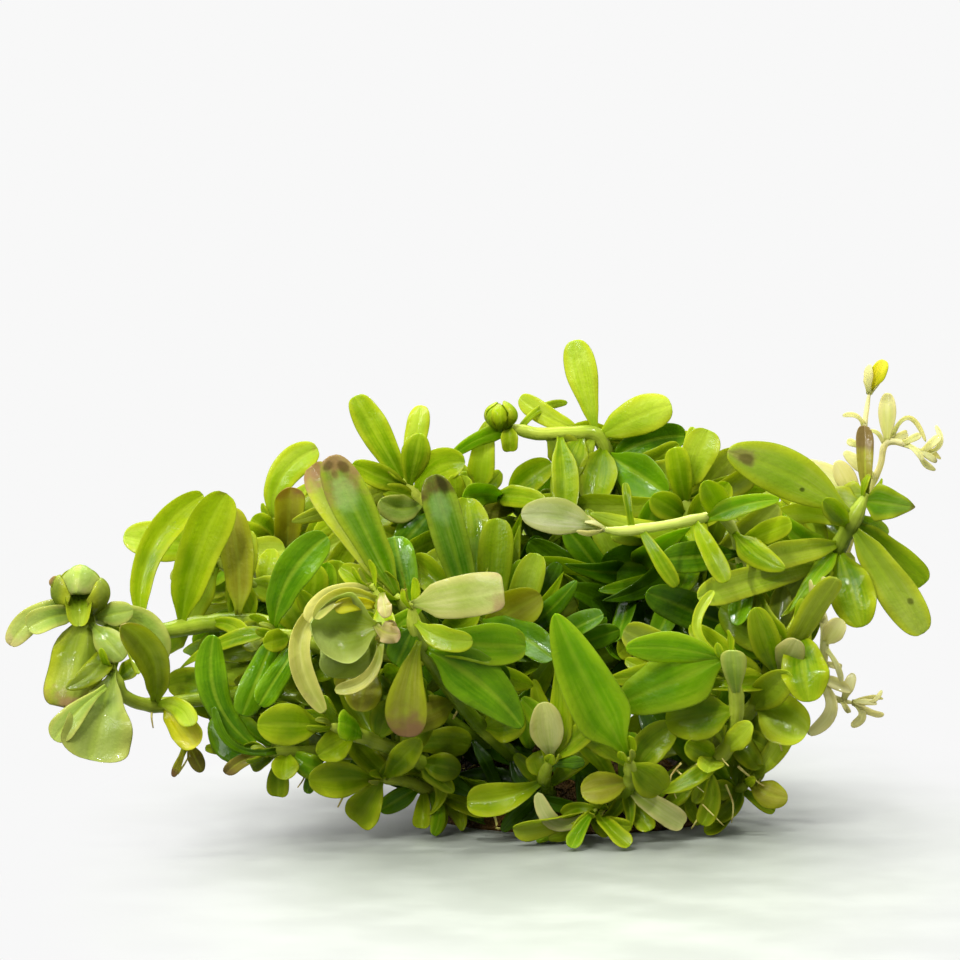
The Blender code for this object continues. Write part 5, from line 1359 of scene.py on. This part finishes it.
def rootMound():
    draw = random.Random(rootMass["seed"])
    middle = Vector((*rootMass["centre"], 0))
    verts = []
    for height, share in rootMass["rings"]:
        for side in range(rootMass["sides"]):
            angle = 2 * math.pi * side / rootMass["sides"]
            uneven = 1.0 if height == 0.0 else draw.uniform(*rootMass["vary"])
            verts.append(Vector((
                middle.x + math.cos(angle) * rootMass["width"] * 0.5 * share * uneven,
                middle.y + math.sin(angle) * rootMass["depth"] * 0.5 * share * uneven,
                rootMass["height"] * height)))
    verts.append(middle + Vector((0, 0, rootMass["height"])))
    return verts, closedFaces(len(rootMass["rings"]), rootMass["sides"], pointed=True)


def moundPoint(angle, rise, out=0.0):  # a point of the lump's surface, from 0 at the rim to 1 at the top
    flank = math.cos(rise * math.pi / 2) ** rootMass["flank"]
    middle = Vector((*rootMass["centre"], 0))
    point = Vector((
        middle.x + math.cos(angle) * rootMass["width"] * 0.5 * flank,
        middle.y + math.sin(angle) * rootMass["depth"] * 0.5 * flank,
        math.sin(rise * math.pi / 2) * rootMass["height"]))
    uneven = noise.noise(point * rootMass["lumpSize"]) * rootMass["lumps"] - rootMass["sunk"]
    uneven += noise.noise(point * rootMass["grainSize"]) * rootMass["grain"]
    share = rootMass["rimShare"] + (1 - rootMass["rimShare"]) * smoothStep(0, rootMass["rim"], rise)
    return point + (point - middle).normalized() * (uneven + out) * share


def rootLump():
    growth = Growth()
    sides, rings = rootMass["fineSides"], rootMass["fineRings"]
    verts = []
    for ring in range(rings):
        for side in range(sides):
            verts.append(moundPoint(2 * math.pi * side / sides, ring / rings))
            verts[-1].z = max(verts[-1].z, 0.0)
    verts.append(moundPoint(0.0, 1.0))
    marks = [(number // sides / rings, 0.0, 0.5, 0.0, 0.0) for number in range(len(verts))]
    growth.add(verts, closedFaces(rings, sides, pointed=True), "rootBrown", marks)
    draw = random.Random(rootMass["seed"])
    for strand in range(strands["count"]):
        rootStrand(growth, draw)
    for route in hairRoots["routes"]:
        line = smoothRoute([seen(*place) for place in route], hairRoots["steps"])
        radius = hairRoots["radius"] * draw.uniform(*hairRoots["vary"])
        addRoot(growth, line, radius, hairRoots, "rootWhite", draw.random())
    growth.make("rootLump", "root_mass", "root_brown")


def addRoot(growth, line, radius, style, look, seed):
    verts, faces = tubeForm(line, radius, radius * style["taper"], style["sides"])
    growth.add(verts, faces, look, [(0.5, 0.0, seed, 0.0, 0.0)] * len(verts))


def rootStrand(growth, draw):
    angle, rise = draw.uniform(0, 2 * math.pi), draw.uniform(*strands["rise"])
    turn, climb = draw.uniform(*strands["turn"]), draw.uniform(*strands["climb"])
    line = []
    for step in range(strands["steps"]):
        angle += turn
        rise = min(max(rise + climb, strands["lowest"]), strands["highest"])
        turn += draw.uniform(*strands["wander"])
        climb += draw.uniform(*strands["wander"])
        line.append(moundPoint(angle, rise, draw.uniform(*strands["out"])))
        line[-1].z = max(line[-1].z, strands["radius"])
    radius = strands["radius"] * draw.uniform(*strands["vary"])
    look = "rootWhite" if draw.random() < strands["paleShare"] else "rootBrown"
    addRoot(growth, smoothRoute(line, strands["smooth"]), radius, strands, look, draw.random())


# Finishes

def linear(red, green, blue):  # a colour as the eye reads it, 0 to 255, to the renderer's own scale
    def one(value):
        value /= 255
        return value / 12.92 if value <= 0.04045 else ((value + 0.055) / 1.055) ** 2.4
    return (one(red), one(green), one(blue), 1.0)


class Nodes:  # the nodes of one material, node group or world
    def __init__(self, tree):
        self.tree = tree

    def add(self, kind, values=None, **settings):
        node = self.tree.nodes.new("ShaderNode" + kind)
        for key, value in settings.items():
            setattr(node, key, value)
        for key, value in (values or {}).items():
            if isinstance(value, bpy.types.NodeSocket):
                self.tree.links.new(value, node.inputs[key])
            else:
                node.inputs[key].default_value = value
        return node

    def math(self, operation, first, second=0.0):
        return self.add("Math", {0: first, 1: second}, operation=operation).outputs[0]

    def plus(self, first, second):
        return self.math("ADD", first, second)

    def minus(self, first, second):
        return self.math("SUBTRACT", first, second)

    def times(self, first, second):
        return self.math("MULTIPLY", first, second)

    def ramp(self, value, span, low=0.0, high=1.0, kind="SMOOTHSTEP"):
        values = {"Value": value, "From Min": span[0], "From Max": span[1], "To Min": low, "To Max": high}
        return self.add("MapRange", values, interpolation_type=kind).outputs["Result"]

    def mix(self, share, first, second, blend="MIX"):
        return self.add("Mix", {0: share, 6: first, 7: second}, data_type="RGBA", blend_type=blend).outputs[2]

    def place(self, size=None):
        spot = self.add("TexCoord").outputs["Object"]
        return self.vector("SCALE", {0: spot, "Scale": size}) if size is not None else spot

    def vector(self, operation, values):
        return self.add("VectorMath", values, operation=operation).outputs[0]

    def noise(self, spot, scale, detail, **more):
        return self.add("TexNoise", {"Vector": spot, "Scale": scale, "Detail": detail, **more}).outputs["Fac"]

    def mark(self, name):
        return self.add("Attribute", attribute_name=name, attribute_type="GEOMETRY").outputs["Fac"]

    def group(self, name, values):
        return self.add("Group", values, node_tree=groups[name]).outputs

    def finish(self, shader, kind="OutputMaterial"):
        self.add(kind, {"Surface": shader.outputs[0]})


def makeGroup(name, inputs, outputs, build):
    tree = bpy.data.node_groups.new(name, "ShaderNodeTree")
    for label, value in inputs.items():
        tree.interface.new_socket(label, in_out="INPUT", socket_type="NodeSocketFloat").default_value = value
    for label in outputs:
        tree.interface.new_socket(label, in_out="OUTPUT", socket_type="NodeSocketFloat")
    given, out = tree.nodes.new("NodeGroupInput"), tree.nodes.new("NodeGroupOutput")
    for label, value in zip(outputs, build(Nodes(tree), given.outputs)):
        tree.links.new(value, out.inputs[label])
    return tree


markings = {
    "midrib": (0.03, 0.2), "sideVeins": 7.0, "slant": 2.1, "sideVein": (0.0, 0.09), "sideShare": 0.16,
    "sideEnds": (0.55, 0.95),
    "streakLong": 1.3, "streakWide": 5.5, "streakShift": 37.0, "streak": (0.32, 0.68),
    "patch": (0.38, 0.66), "grainSize": 11.0,
    "scorchSize": 900.0, "scorchRagged": 0.7, "scorchReach": 0.42, "scorchSoft": 0.3,
    "scorchFrom": (0.0, 0.1),
    "blotchSize": 1600.0, "blotchRagged": 1.1, "blotch": (0.55, 1.25),
    "film": (0.36, 0.64), "filmSize": 0.45,
}


def veins(nodes, given):  # the midrib with its slanting side veins, and streaks along the blade
    edge = nodes.math("ABSOLUTE", given["Across"])
    midrib = nodes.ramp(edge, markings["midrib"], 1.0, 0.0)
    slant = nodes.minus(
        nodes.times(given["Along"], markings["sideVeins"]), nodes.times(edge, markings["slant"]))
    side = nodes.ramp(nodes.math("PINGPONG", slant, 0.5), markings["sideVein"], markings["sideShare"], 0.0)
    side = nodes.times(side, nodes.ramp(edge, markings["sideEnds"], 1.0, 0.0))
    spot = nodes.add("CombineXYZ", {
        "X": nodes.times(given["Along"], markings["streakLong"]),
        "Y": nodes.times(given["Across"], markings["streakWide"]),
        "Z": nodes.times(given["Seed"], markings["streakShift"])}).outputs[0]
    streak = nodes.noise(spot, 1.6, 3.0, Roughness=0.6)
    return nodes.math("MAXIMUM", midrib, side), nodes.ramp(streak, markings["streak"])


def patches(nodes, given):
    spot = nodes.place(given["Size"])
    grain = nodes.add("TexVoronoi", {"Vector": spot, "Scale": markings["grainSize"]}).outputs["Distance"]
    return nodes.ramp(nodes.noise(spot, 1.0, 2.0), markings["patch"]), grain


def scorch(nodes, given):  # brown tips on the leaves; on the stems the same mask lays painted shade deep in the clump
    ragged = nodes.minus(nodes.noise(nodes.place(), markings["scorchSize"], 3.0), 0.5)
    reach = nodes.plus(given["Along"], nodes.times(ragged, markings["scorchRagged"]))
    start = nodes.minus(1.0, nodes.times(given["Amount"], markings["scorchReach"]))
    share = nodes.math("DIVIDE", nodes.minus(reach, start), markings["scorchSoft"])
    return [nodes.times(nodes.ramp(share, (0.0, 1.0)), nodes.ramp(given["Amount"], markings["scorchFrom"]))]


def blotch(nodes, given):  # a ragged stain at one place of the blade
    ragged = nodes.minus(nodes.noise(nodes.place(), markings["blotchSize"], 3.0), 0.5)
    ahead = nodes.math("DIVIDE", nodes.minus(given["Along"], given["AtAlong"]), given["Long"])
    aside = nodes.math("DIVIDE", nodes.minus(given["Across"], given["AtAcross"]), given["Wide"])
    far = nodes.math("SQRT", nodes.plus(nodes.times(ahead, ahead), nodes.times(aside, aside)))
    far = nodes.plus(far, nodes.times(ragged, markings["blotchRagged"]))
    return [nodes.ramp(far, markings["blotch"], 1.0, 0.0)]


def film(nodes, given):  # water that makes a surface smoother here and there
    spot = nodes.place(given["Size"])
    wet = nodes.noise(spot, markings["filmSize"], 2.0)
    roughness = nodes.ramp(wet, markings["film"], given["Low"], given["High"], "LINEAR")
    return roughness, nodes.noise(spot, 1.0, 3.0)


groups = {
    "veins": makeGroup("leafVeins", {"Along": 0.5, "Across": 0.0, "Seed": 0.5}, ("Vein", "Streak"), veins),
    "patches": makeGroup("leafPatches", {"Size": 260.0}, ("Patch", "Grain"), patches),
    "scorch": makeGroup("tipScorchAndStemShade", {"Along": 0.5, "Amount": 0.0}, ("Mask",), scorch),
    "blotch": makeGroup("leafBlotch", {
        "Along": 0.5, "Across": 0.0, "AtAlong": 0.8, "AtAcross": 0.0, "Long": 0.1, "Wide": 0.3,
    }, ("Mask",), blotch),
    "film": makeGroup("wetFilm", {"Size": 1500.0, "Low": 0.22, "High": 0.5}, ("Roughness", "Height"), film),
}


def newMaterial(name):
    material = bpy.data.materials.new(name)
    material.use_nodes = True
    material.node_tree.nodes.clear()
    return material, Nodes(material.node_tree)


leafSkin = {
    "patchSize": 300.0, "filmSize": 1500.0, "filmHeight": 0.8, "grainHeight": 0.15, "veinHeight": -0.2,
    "depth": 0.00026, "ior": 1.4, "coatRoughness": 0.04, "coatIor": 1.33,
    "shade": (160, 176, 126),  # what is left of the light deep in the clump
    "tipGlow": (0.35, 1.0), "edge": (0.45, 0.9), "rim": (0.93, 0.99), "foot": (0.0, 0.3),  # where they show
}


def leafFinish(name, look):
    material, nodes = newMaterial(name)

    def tint(key):
        return linear(*look[key])
    along, across, seed, scorchAndStemShade, shaded = (nodes.mark(markName) for markName in markNames)
    side = nodes.math("ABSOLUTE", across)
    vein = nodes.group("veins", {"Along": along, "Across": across, "Seed": seed})
    patch = nodes.group("patches", {"Size": leafSkin["patchSize"]})
    wet = nodes.group("film", {
        "Size": leafSkin["filmSize"], "Low": look["gloss"][0], "High": look["gloss"][1]})
    colour = nodes.mix(seed, tint("main"), tint("other"))
    for share, key in (
            (nodes.times(vein["Streak"], look["streak"]), "light"),
            (nodes.times(patch["Patch"], look["patch"]), "dark"),
            (nodes.times(vein["Vein"], look["vein"]), "veinColour"),
            (nodes.ramp(along, leafSkin["tipGlow"], 0.0, look["tipGlow"]), "light"),
            (nodes.ramp(side, leafSkin["edge"], 0.0, look["edge"]), "edgeColour"),
            (nodes.ramp(side, leafSkin["rim"], 0.0, look["rim"]), "rimColour"),
            (nodes.ramp(along, leafSkin["foot"], look["footPale"], 0.0), "footColour"),
            (nodes.group("scorch", {"Along": along, "Amount": scorchAndStemShade})["Mask"], "tip")):
        colour = nodes.mix(share, colour, tint(key))
    for atAlong, atAcross, long, wide, stain, strength in look.get("blotches", ()):
        mask = nodes.group("blotch", {
            "Along": along, "Across": across, "AtAlong": atAlong, "AtAcross": atAcross,
            "Long": long, "Wide": wide})["Mask"]
        colour = nodes.mix(nodes.times(mask, strength), colour, linear(*stain))
    colour = nodes.mix(shaded, colour, linear(*leafSkin["shade"]), "MULTIPLY")
    height = nodes.plus(nodes.times(wet["Height"], leafSkin["filmHeight"]),
                        nodes.times(patch["Grain"], leafSkin["grainHeight"]))
    height = nodes.plus(height, nodes.times(vein["Vein"], leafSkin["veinHeight"]))
    bump = nodes.add("Bump", {
        "Height": height, "Strength": look["bump"], "Distance": leafSkin["depth"]}).outputs[0]
    skin = nodes.add("BsdfPrincipled", {
        "Base Color": colour, "Roughness": wet["Roughness"], "Normal": bump, "IOR": leafSkin["ior"],
        "Specular IOR Level": look["shine"], "Coat Weight": look["coat"],
        "Coat Roughness": leafSkin["coatRoughness"], "Coat IOR": leafSkin["coatIor"]})
    glow = nodes.mix(look["glow"], colour, tint("glowColour"))
    through = nodes.add("BsdfTranslucent", {"Color": glow, "Normal": bump})
    nodes.finish(nodes.add("MixShader", {0: look["through"], 1: skin.outputs[0], 2: through.outputs[0]}))
    return material


plainGreen = {
    "main": (98, 138, 0), "other": (140, 164, 4), "light": (172, 185, 34), "dark": (66, 108, 0),
    "streak": 0.6, "patch": 0.65, "vein": 0.3, "veinColour": (170, 188, 50),
    "edge": 0.7, "edgeColour": (172, 179, 30), "rim": 0.4, "rimColour": (104, 116, 40),
    "footPale": 0.5, "footColour": (104, 140, 0), "tipGlow": 0.3, "tip": (126, 96, 50),
    "gloss": (0.1, 0.4), "bump": 0.34, "coat": 0.17, "shine": 0.13,
    "glow": 0.5, "glowColour": (158, 182, 0), "through": 0.6,
}


def look(main, other, light, dark, glowColour, **more):  # what differs from the plain green
    return {
        **plainGreen, "main": main, "other": other, "light": light, "dark": dark, "glowColour": glowColour,
        **more}


stem = {"vein": 0.0, "edge": 0.0, "rim": 0.0, "footPale": 0.0}
leafLooks = {
    "green": plainGreen,
    "lime": look((146, 174, 14), (168, 184, 36), (186, 198, 76), (116, 150, 0), (172, 186, 22), through=0.55),
    "deep": look((56, 104, 0), (78, 124, 0), (108, 147, 16), (34, 76, 0), (105, 146, 0),
                 edgeColour=(128, 158, 20), edge=0.3, through=0.42),
    "olive": look((140, 152, 22), (162, 158, 44), (176, 174, 76), (116, 112, 26), (173, 167, 26),
                  tip=(142, 108, 76)),
    "pale": look((162, 180, 84), (172, 182, 100), (202, 197, 146), (146, 166, 60), (192, 189, 100),
                 patch=0.8, veinColour=(200, 204, 130), tip=(168, 138, 108), footColour=(134, 160, 30),
                 edgeColour=(196, 189, 124), rimColour=(150, 142, 90)),
    "vivid": look((104, 154, 0), (114, 156, 4), (152, 181, 34), (66, 122, 0), (147, 178, 0),
                  edgeColour=(158, 179, 30), tipGlow=0.15),
    "misty": look((138, 164, 60), (152, 166, 78), (172, 181, 100), (96, 130, 28), (156, 169, 50),
                  streak=0.45, edgeColour=(172, 174, 84), tip=(180, 156, 112), footColour=(120, 146, 30),
                  through=0.48, rimColour=(124, 112, 56)),
    "muted": look((128, 150, 30), (138, 152, 44), (164, 172, 76), (84, 110, 6), (150, 158, 30),
                  patch=0.7, tip=(156, 124, 84)),
    "silvery": look((98, 144, 0), (112, 149, 8), (158, 178, 84), (70, 120, 0), (143, 171, 0),
                    tip=(120, 86, 50)),
    "whitish": look((172, 182, 122), (178, 182, 132), (208, 203, 182), (128, 150, 64), (192, 189, 120),
                    streak=0.75, veinColour=(120, 150, 50), tip=(128, 116, 76), footColour=(150, 176, 50),
                    edgeColour=(164, 168, 92), rimColour=(120, 124, 60), rim=0.6, patch=0.7),
    "stained": look((142, 168, 40), (142, 162, 40), (168, 178, 84), (112, 150, 10), (165, 178, 30), blotches=(
        (0.9, -0.05, 0.12, 0.5, (136, 116, 84), 0.65), (0.86, 0.1, 0.06, 0.3, (84, 66, 44), 0.7),
        (0.42, 0.3, 0.018, 0.1, (52, 62, 22), 0.9))),
    "dotted": look((146, 168, 44), (146, 168, 44), (176, 186, 88), (120, 148, 16), (173, 185, 10),
                   blotches=((0.74, 0.35, 0.03, 0.18, (70, 70, 26), 0.75),)),
    "burnt": look((120, 120, 28), (126, 120, 36), (150, 139, 60), (88, 84, 16), (141, 125, 20),
                  tip=(104, 88, 46), through=0.4, rim=0.0, edge=0.0),
    # This look is painted shade: a darker copy of the green for leaves deep in the clump and in its hollows.
    "core": look((46, 80, 0), (64, 98, 0), (90, 125, 6), (24, 52, 0), (62, 98, 0),
                 edge=0.15, edgeColour=(90, 124, 8), through=0.3, tipGlow=0.1, veinColour=(84, 116, 14),
                 footColour=(50, 70, 4)),
    "yellow": look((196, 196, 4), (206, 199, 20), (222, 212, 90), (158, 170, 0), (212, 199, 6),
                   bump=0.02, footColour=(170, 180, 0)),
    "capped": look((92, 138, 0), (92, 133, 0), (150, 172, 70), (62, 112, 0), (141, 167, 0),
                   tip=(146, 116, 76), edgeColour=(164, 174, 40), blotches=(
                       (0.74, 0.1, 0.13, 0.6, (156, 180, 106), 0.6),
                       (0.9, -0.5, 0.05, 0.3, (92, 66, 40), 0.8),
                       (0.95, 0.35, 0.03, 0.4, (84, 62, 40), 0.7),
                       (0.88, 0.15, 0.03, 0.2, (104, 78, 48), 0.6))),
    "darkCapped": look((74, 122, 0), (74, 118, 0), (134, 160, 60), (48, 96, 0), (126, 157, 0),
                       tip=(92, 74, 40), edgeColour=(150, 164, 40), blotches=(
                           (0.76, 0.1, 0.12, 0.6, (140, 168, 104), 0.5),
                           (0.92, -0.5, 0.08, 0.35, (52, 36, 22), 0.9))),
    "ribbon": look((168, 176, 74), (178, 176, 88), (196, 191, 112), (128, 148, 36), (184, 182, 70),
                   tip=(176, 160, 110), footColour=(134, 156, 24), edgeColour=(190, 185, 100),
                   veinColour=(190, 194, 108), rimColour=(190, 190, 110)),
    "bubble": look((136, 154, 40), (144, 156, 52), (172, 186, 104), (110, 132, 14), (141, 157, 30),
                   tip=(170, 182, 96), edge=0.9, edgeColour=(160, 172, 84), rim=0.8,
                   rimColour=(184, 196, 108), footColour=(150, 164, 8), tipGlow=0.75, vein=0.1),
    "blush": look((166, 162, 86), (172, 154, 100), (188, 176, 126), (136, 140, 44), (175, 162, 90),
                  tip=(176, 150, 118), edgeColour=(184, 168, 116)),
    "clear": look((206, 212, 140), (200, 197, 120), (224, 218, 180), (190, 198, 108), (212, 206, 150),
                  veinColour=(222, 224, 170), tip=(150, 140, 96), footColour=(200, 208, 120),
                  edgeColour=(214, 207, 150), through=0.65, rimColour=(140, 138, 84), rim=0.6, bump=0.03),
    # On the stems the tip colour is painted shade, laid on deep in the clump by the scorch mark.
    "stemGreen": look((124, 146, 22), (146, 158, 40), (172, 178, 74), (92, 120, 10), (158, 182, 0),
                      tip=(52, 76, 4), streak=0.5, through=0.3, **stem),
    "stemLime": look((164, 182, 60), (176, 185, 80), (200, 201, 120), (124, 150, 20), (158, 182, 0),
                     through=0.4, bump=0.15, **stem),
    "stemPale": look((204, 208, 128), (214, 207, 146), (228, 220, 180), (176, 188, 92), (214, 206, 140),
                     through=0.55, bump=0.03, **stem),
}
rootSkin = {"patchSize": 700.0, "filmSize": 2600.0, "depth": 0.0002, "shine": 0.15, "coatRoughness": 0.2}
rootLooks = {
    "rootBrown": {"main": (60, 42, 10), "other": (92, 66, 22), "dark": (24, 18, 2), "gloss": (0.6, 0.9),
                  "bump": 0.8, "coat": 0.0},
    "rootWhite": {"main": (190, 182, 92), "other": (204, 196, 112), "dark": (150, 132, 66),
                  "gloss": (0.4, 0.6), "bump": 0.3, "coat": 0.1},
}


def rootFinish(name, look):
    material, nodes = newMaterial(name)
    patch = nodes.group("patches", {"Size": rootSkin["patchSize"]})
    wet = nodes.group("film", {
        "Size": rootSkin["filmSize"], "Low": look["gloss"][0], "High": look["gloss"][1]})
    colour = nodes.mix(nodes.mark("leafSeed"), linear(*look["main"]), linear(*look["other"]))
    colour = nodes.mix(patch["Patch"], colour, linear(*look["dark"]))
    height = nodes.plus(wet["Height"], patch["Grain"])
    bump = nodes.add("Bump", {
        "Height": height, "Strength": look["bump"], "Distance": rootSkin["depth"]}).outputs[0]
    nodes.finish(nodes.add("BsdfPrincipled", {
        "Base Color": colour, "Roughness": wet["Roughness"], "Normal": bump,
        "Specular IOR Level": rootSkin["shine"], "Coat Weight": look["coat"],
        "Coat Roughness": rootSkin["coatRoughness"]}))
    return material


finishes = {name: leafFinish(name if name.startswith("stem") else "leaf" + name[0].upper() + name[1:], values)
            for name, values in leafLooks.items()}
finishes.update({name: rootFinish(name, values) for name, values in rootLooks.items()})
print("finishes:", len(finishes))


# The floor, the light and the camera

studio = {
    "floorRadius": 1600.0, "floorDrop": 0.02, "floorRings": 40, "floorSides": 96, "floorSpread": 2.2,
    "floorNear": (110, 114, 105), "floorStreak": (122, 126, 117), "floorFar": (248, 248, 248),
    "floorRoughness": 0.45,
    "floorMiddle": (-1.0, -12.0), "floorReach": (24.0, 48.0), "fade": (0.35, 1.45),
    "cloudSize": 2.2, "cloud": 0.35, "brush": (1.0, 2.6, 1.0), "brushSize": 3.0, "brushed": (0.35, 0.7),
    "shown": (248, 248, 248), "light": (252, 253, 252), "worldStrength": 0.54,
    "lights": (  # name, place in mm, size in mm, power in watts
        ("topBack", (-40, 110, 260), 300, 2.4),
        ("leftFront", (-160, -240, 200), 150, 1.5),
        ("rightTop", (150, -60, 260), 36, 0.8),
        ("frontTop", (-60, -190, 230), 28, 0.6),
        ("leftTop", (-190, -60, 200), 28, 0.5),
    ),
    "aim": (-5, 0, 10),
}


def floorDisc():
    rings, sides = studio["floorRings"], studio["floorSides"]
    verts, faces = [Vector((0, 0, 0))], []
    for ring in range(rings):
        radius = studio["floorRadius"] * ((ring + 1) / rings) ** studio["floorSpread"]
        for side in range(sides):
            angle = 2 * math.pi * side / sides
            verts.append(Vector((math.cos(angle), math.sin(angle), 0)) * radius)
    faces.extend((0, 1 + side, 1 + (side + 1) % sides) for side in range(sides))
    faces.extend((1 + a, 1 + d, 1 + c, 1 + b) for a, b, c, d in ringFaces(rings, sides))
    mesh = bpy.data.meshes.new("floor")
    mesh.from_pydata([(vert - Vector((0, 0, studio["floorDrop"]))) * mm for vert in verts], [], faces)
    mesh.materials.append(floorFinish())
    floor = addObject("floor", mesh)


def floorFinish():  # a grey that fades into white away from the clump
    material, nodes = newMaterial("paleFloor")
    spot = nodes.vector("SUBTRACT", {0: nodes.place(), 1: Vector((*studio["floorMiddle"], 0)) * mm})
    share = Vector((1 / studio["floorReach"][0], 1 / studio["floorReach"][1], 0)) / mm
    spot = nodes.vector("MULTIPLY", {0: spot, 1: share})
    far = nodes.add("VectorMath", {0: spot}, operation="LENGTH").outputs["Value"]
    cloud = nodes.minus(nodes.noise(spot, studio["cloudSize"], 3.0), 0.5)
    fade = nodes.ramp(nodes.plus(far, nodes.times(cloud, studio["cloud"])), studio["fade"])
    brushed = nodes.noise(nodes.vector("MULTIPLY", {0: spot, 1: studio["brush"]}), studio["brushSize"], 5.0)
    near = nodes.mix(nodes.ramp(brushed, studio["brushed"]), linear(*studio["floorNear"]),
                     linear(*studio["floorStreak"]))
    skin = nodes.add("BsdfPrincipled", {"Base Color": near, "Roughness": studio["floorRoughness"]})
    toCamera = nodes.add("LightPath").outputs["Is Camera Ray"]
    strength = nodes.ramp(toCamera, (0.0, 1.0), studio["worldStrength"], 1.0)
    bright = nodes.add("Emission", {"Color": linear(*studio["floorFar"]), "Strength": strength})
    nodes.finish(nodes.add("MixShader", {0: fade, 1: skin.outputs[0], 2: bright.outputs[0]}))
    return material


def lightAndCamera():
    scene = bpy.context.scene
    scene.world = bpy.data.worlds.new("studioWhite")
    scene.world.use_nodes = True
    scene.world.node_tree.nodes.clear()
    nodes = Nodes(scene.world.node_tree)
    shown = nodes.add("Background", {"Color": linear(*studio["shown"]), "Strength": 1.0})
    light = nodes.add("Background", {"Color": linear(*studio["light"]), "Strength": studio["worldStrength"]})
    toCamera = nodes.add("LightPath").outputs["Is Camera Ray"]
    both = nodes.add("MixShader", {0: toCamera, 1: light.outputs[0], 2: shown.outputs[0]})
    nodes.finish(both, "OutputWorld")
    for name, place, size, power in studio["lights"]:
        lamp = bpy.data.lights.new(name, "AREA")
        lamp.shape = "DISK"
        lamp.size = size * mm
        lamp.energy = power
        made = addObject(name, lamp)
        made.location = Vector(place) * mm
        made.rotation_euler = (Vector(studio["aim"]) - Vector(place)).to_track_quat("-Z", "Y").to_euler()
    eye = bpy.data.cameras.new("camera")
    eye.lens, eye.sensor_width = view["lens"], view["sensor"]
    eye.clip_start, eye.clip_end = view["near"], view["far"]
    scene.camera = addObject("camera", eye)
    scene.camera.location = view["eye"] * mm
    scene.camera.rotation_euler = (math.radians(90 - view["down"]), 0, 0)
    scene.view_settings.view_transform = "Standard"


# Putting it together

slotLooks = {  # the part's own names for the looks that it doesn't tell apart
    "clear": "pale", "whitish": "pale", "ribbon": "pale", "bubble": "pale", "blush": "pale",
    "vivid": "green", "muted": "green", "misty": "green", "silvery": "green", "stained": "green",
    "capped": "green", "yellow": "lime", "dotted": "lime", "core": "deep", "darkCapped": "deep",
    "burnt": "olive",
}


firstSeed = 100


def growPieces(shoots, crowd):
    for number, plan in enumerate(shoots):
        draw = random.Random(firstSeed + number)
        growth = Growth(crowd)
        fineStem(growth, plan, draw)
        if "bud" in plan:
            growBud = fineHood if plan.get("hood") else fineBud
            growBud(growth, draw, *plan["bud"])
        placed = [grown for grown in plan["leaves"] if "placed" in grown]
        own = [grown for grown in placed if not grown["node"]]
        for grown in own + plan["extras"] + plan["inner"]:
            fineLeaf(growth, grown, *grown["placed"], draw)
        growth.make(plan["node"].replace("shoot_", "shoot."), plan["node"], "stem_" + plan["stem"])
        for grown in placed:
            if grown["node"]:
                single = Growth(crowd)
                fineLeaf(single, grown, *grown["placed"], draw)
                single.make(grown["node"].replace("leaf_", "leaf."), grown["node"],
                            grown.get("slot", "leaf_" + slotLooks.get(grown["look"], grown["look"])))
    print("shoots grown:", len(shoots))


backDraw = random.Random(backShoots["seed"])
for name, route in backShoots["routes"].items():
    backShoot(name, route, backDraw)
space = placeEverything(allShoots)
print("planned leaves placed:", sum("placed" in grown for plan in allShoots for grown in plan["leaves"]))
growInside(allShoots, space)
crowd = fillGaps(allShoots, space)
rootLump()
growPieces(allShoots, crowd)
floorDisc()
lightAndCamera()
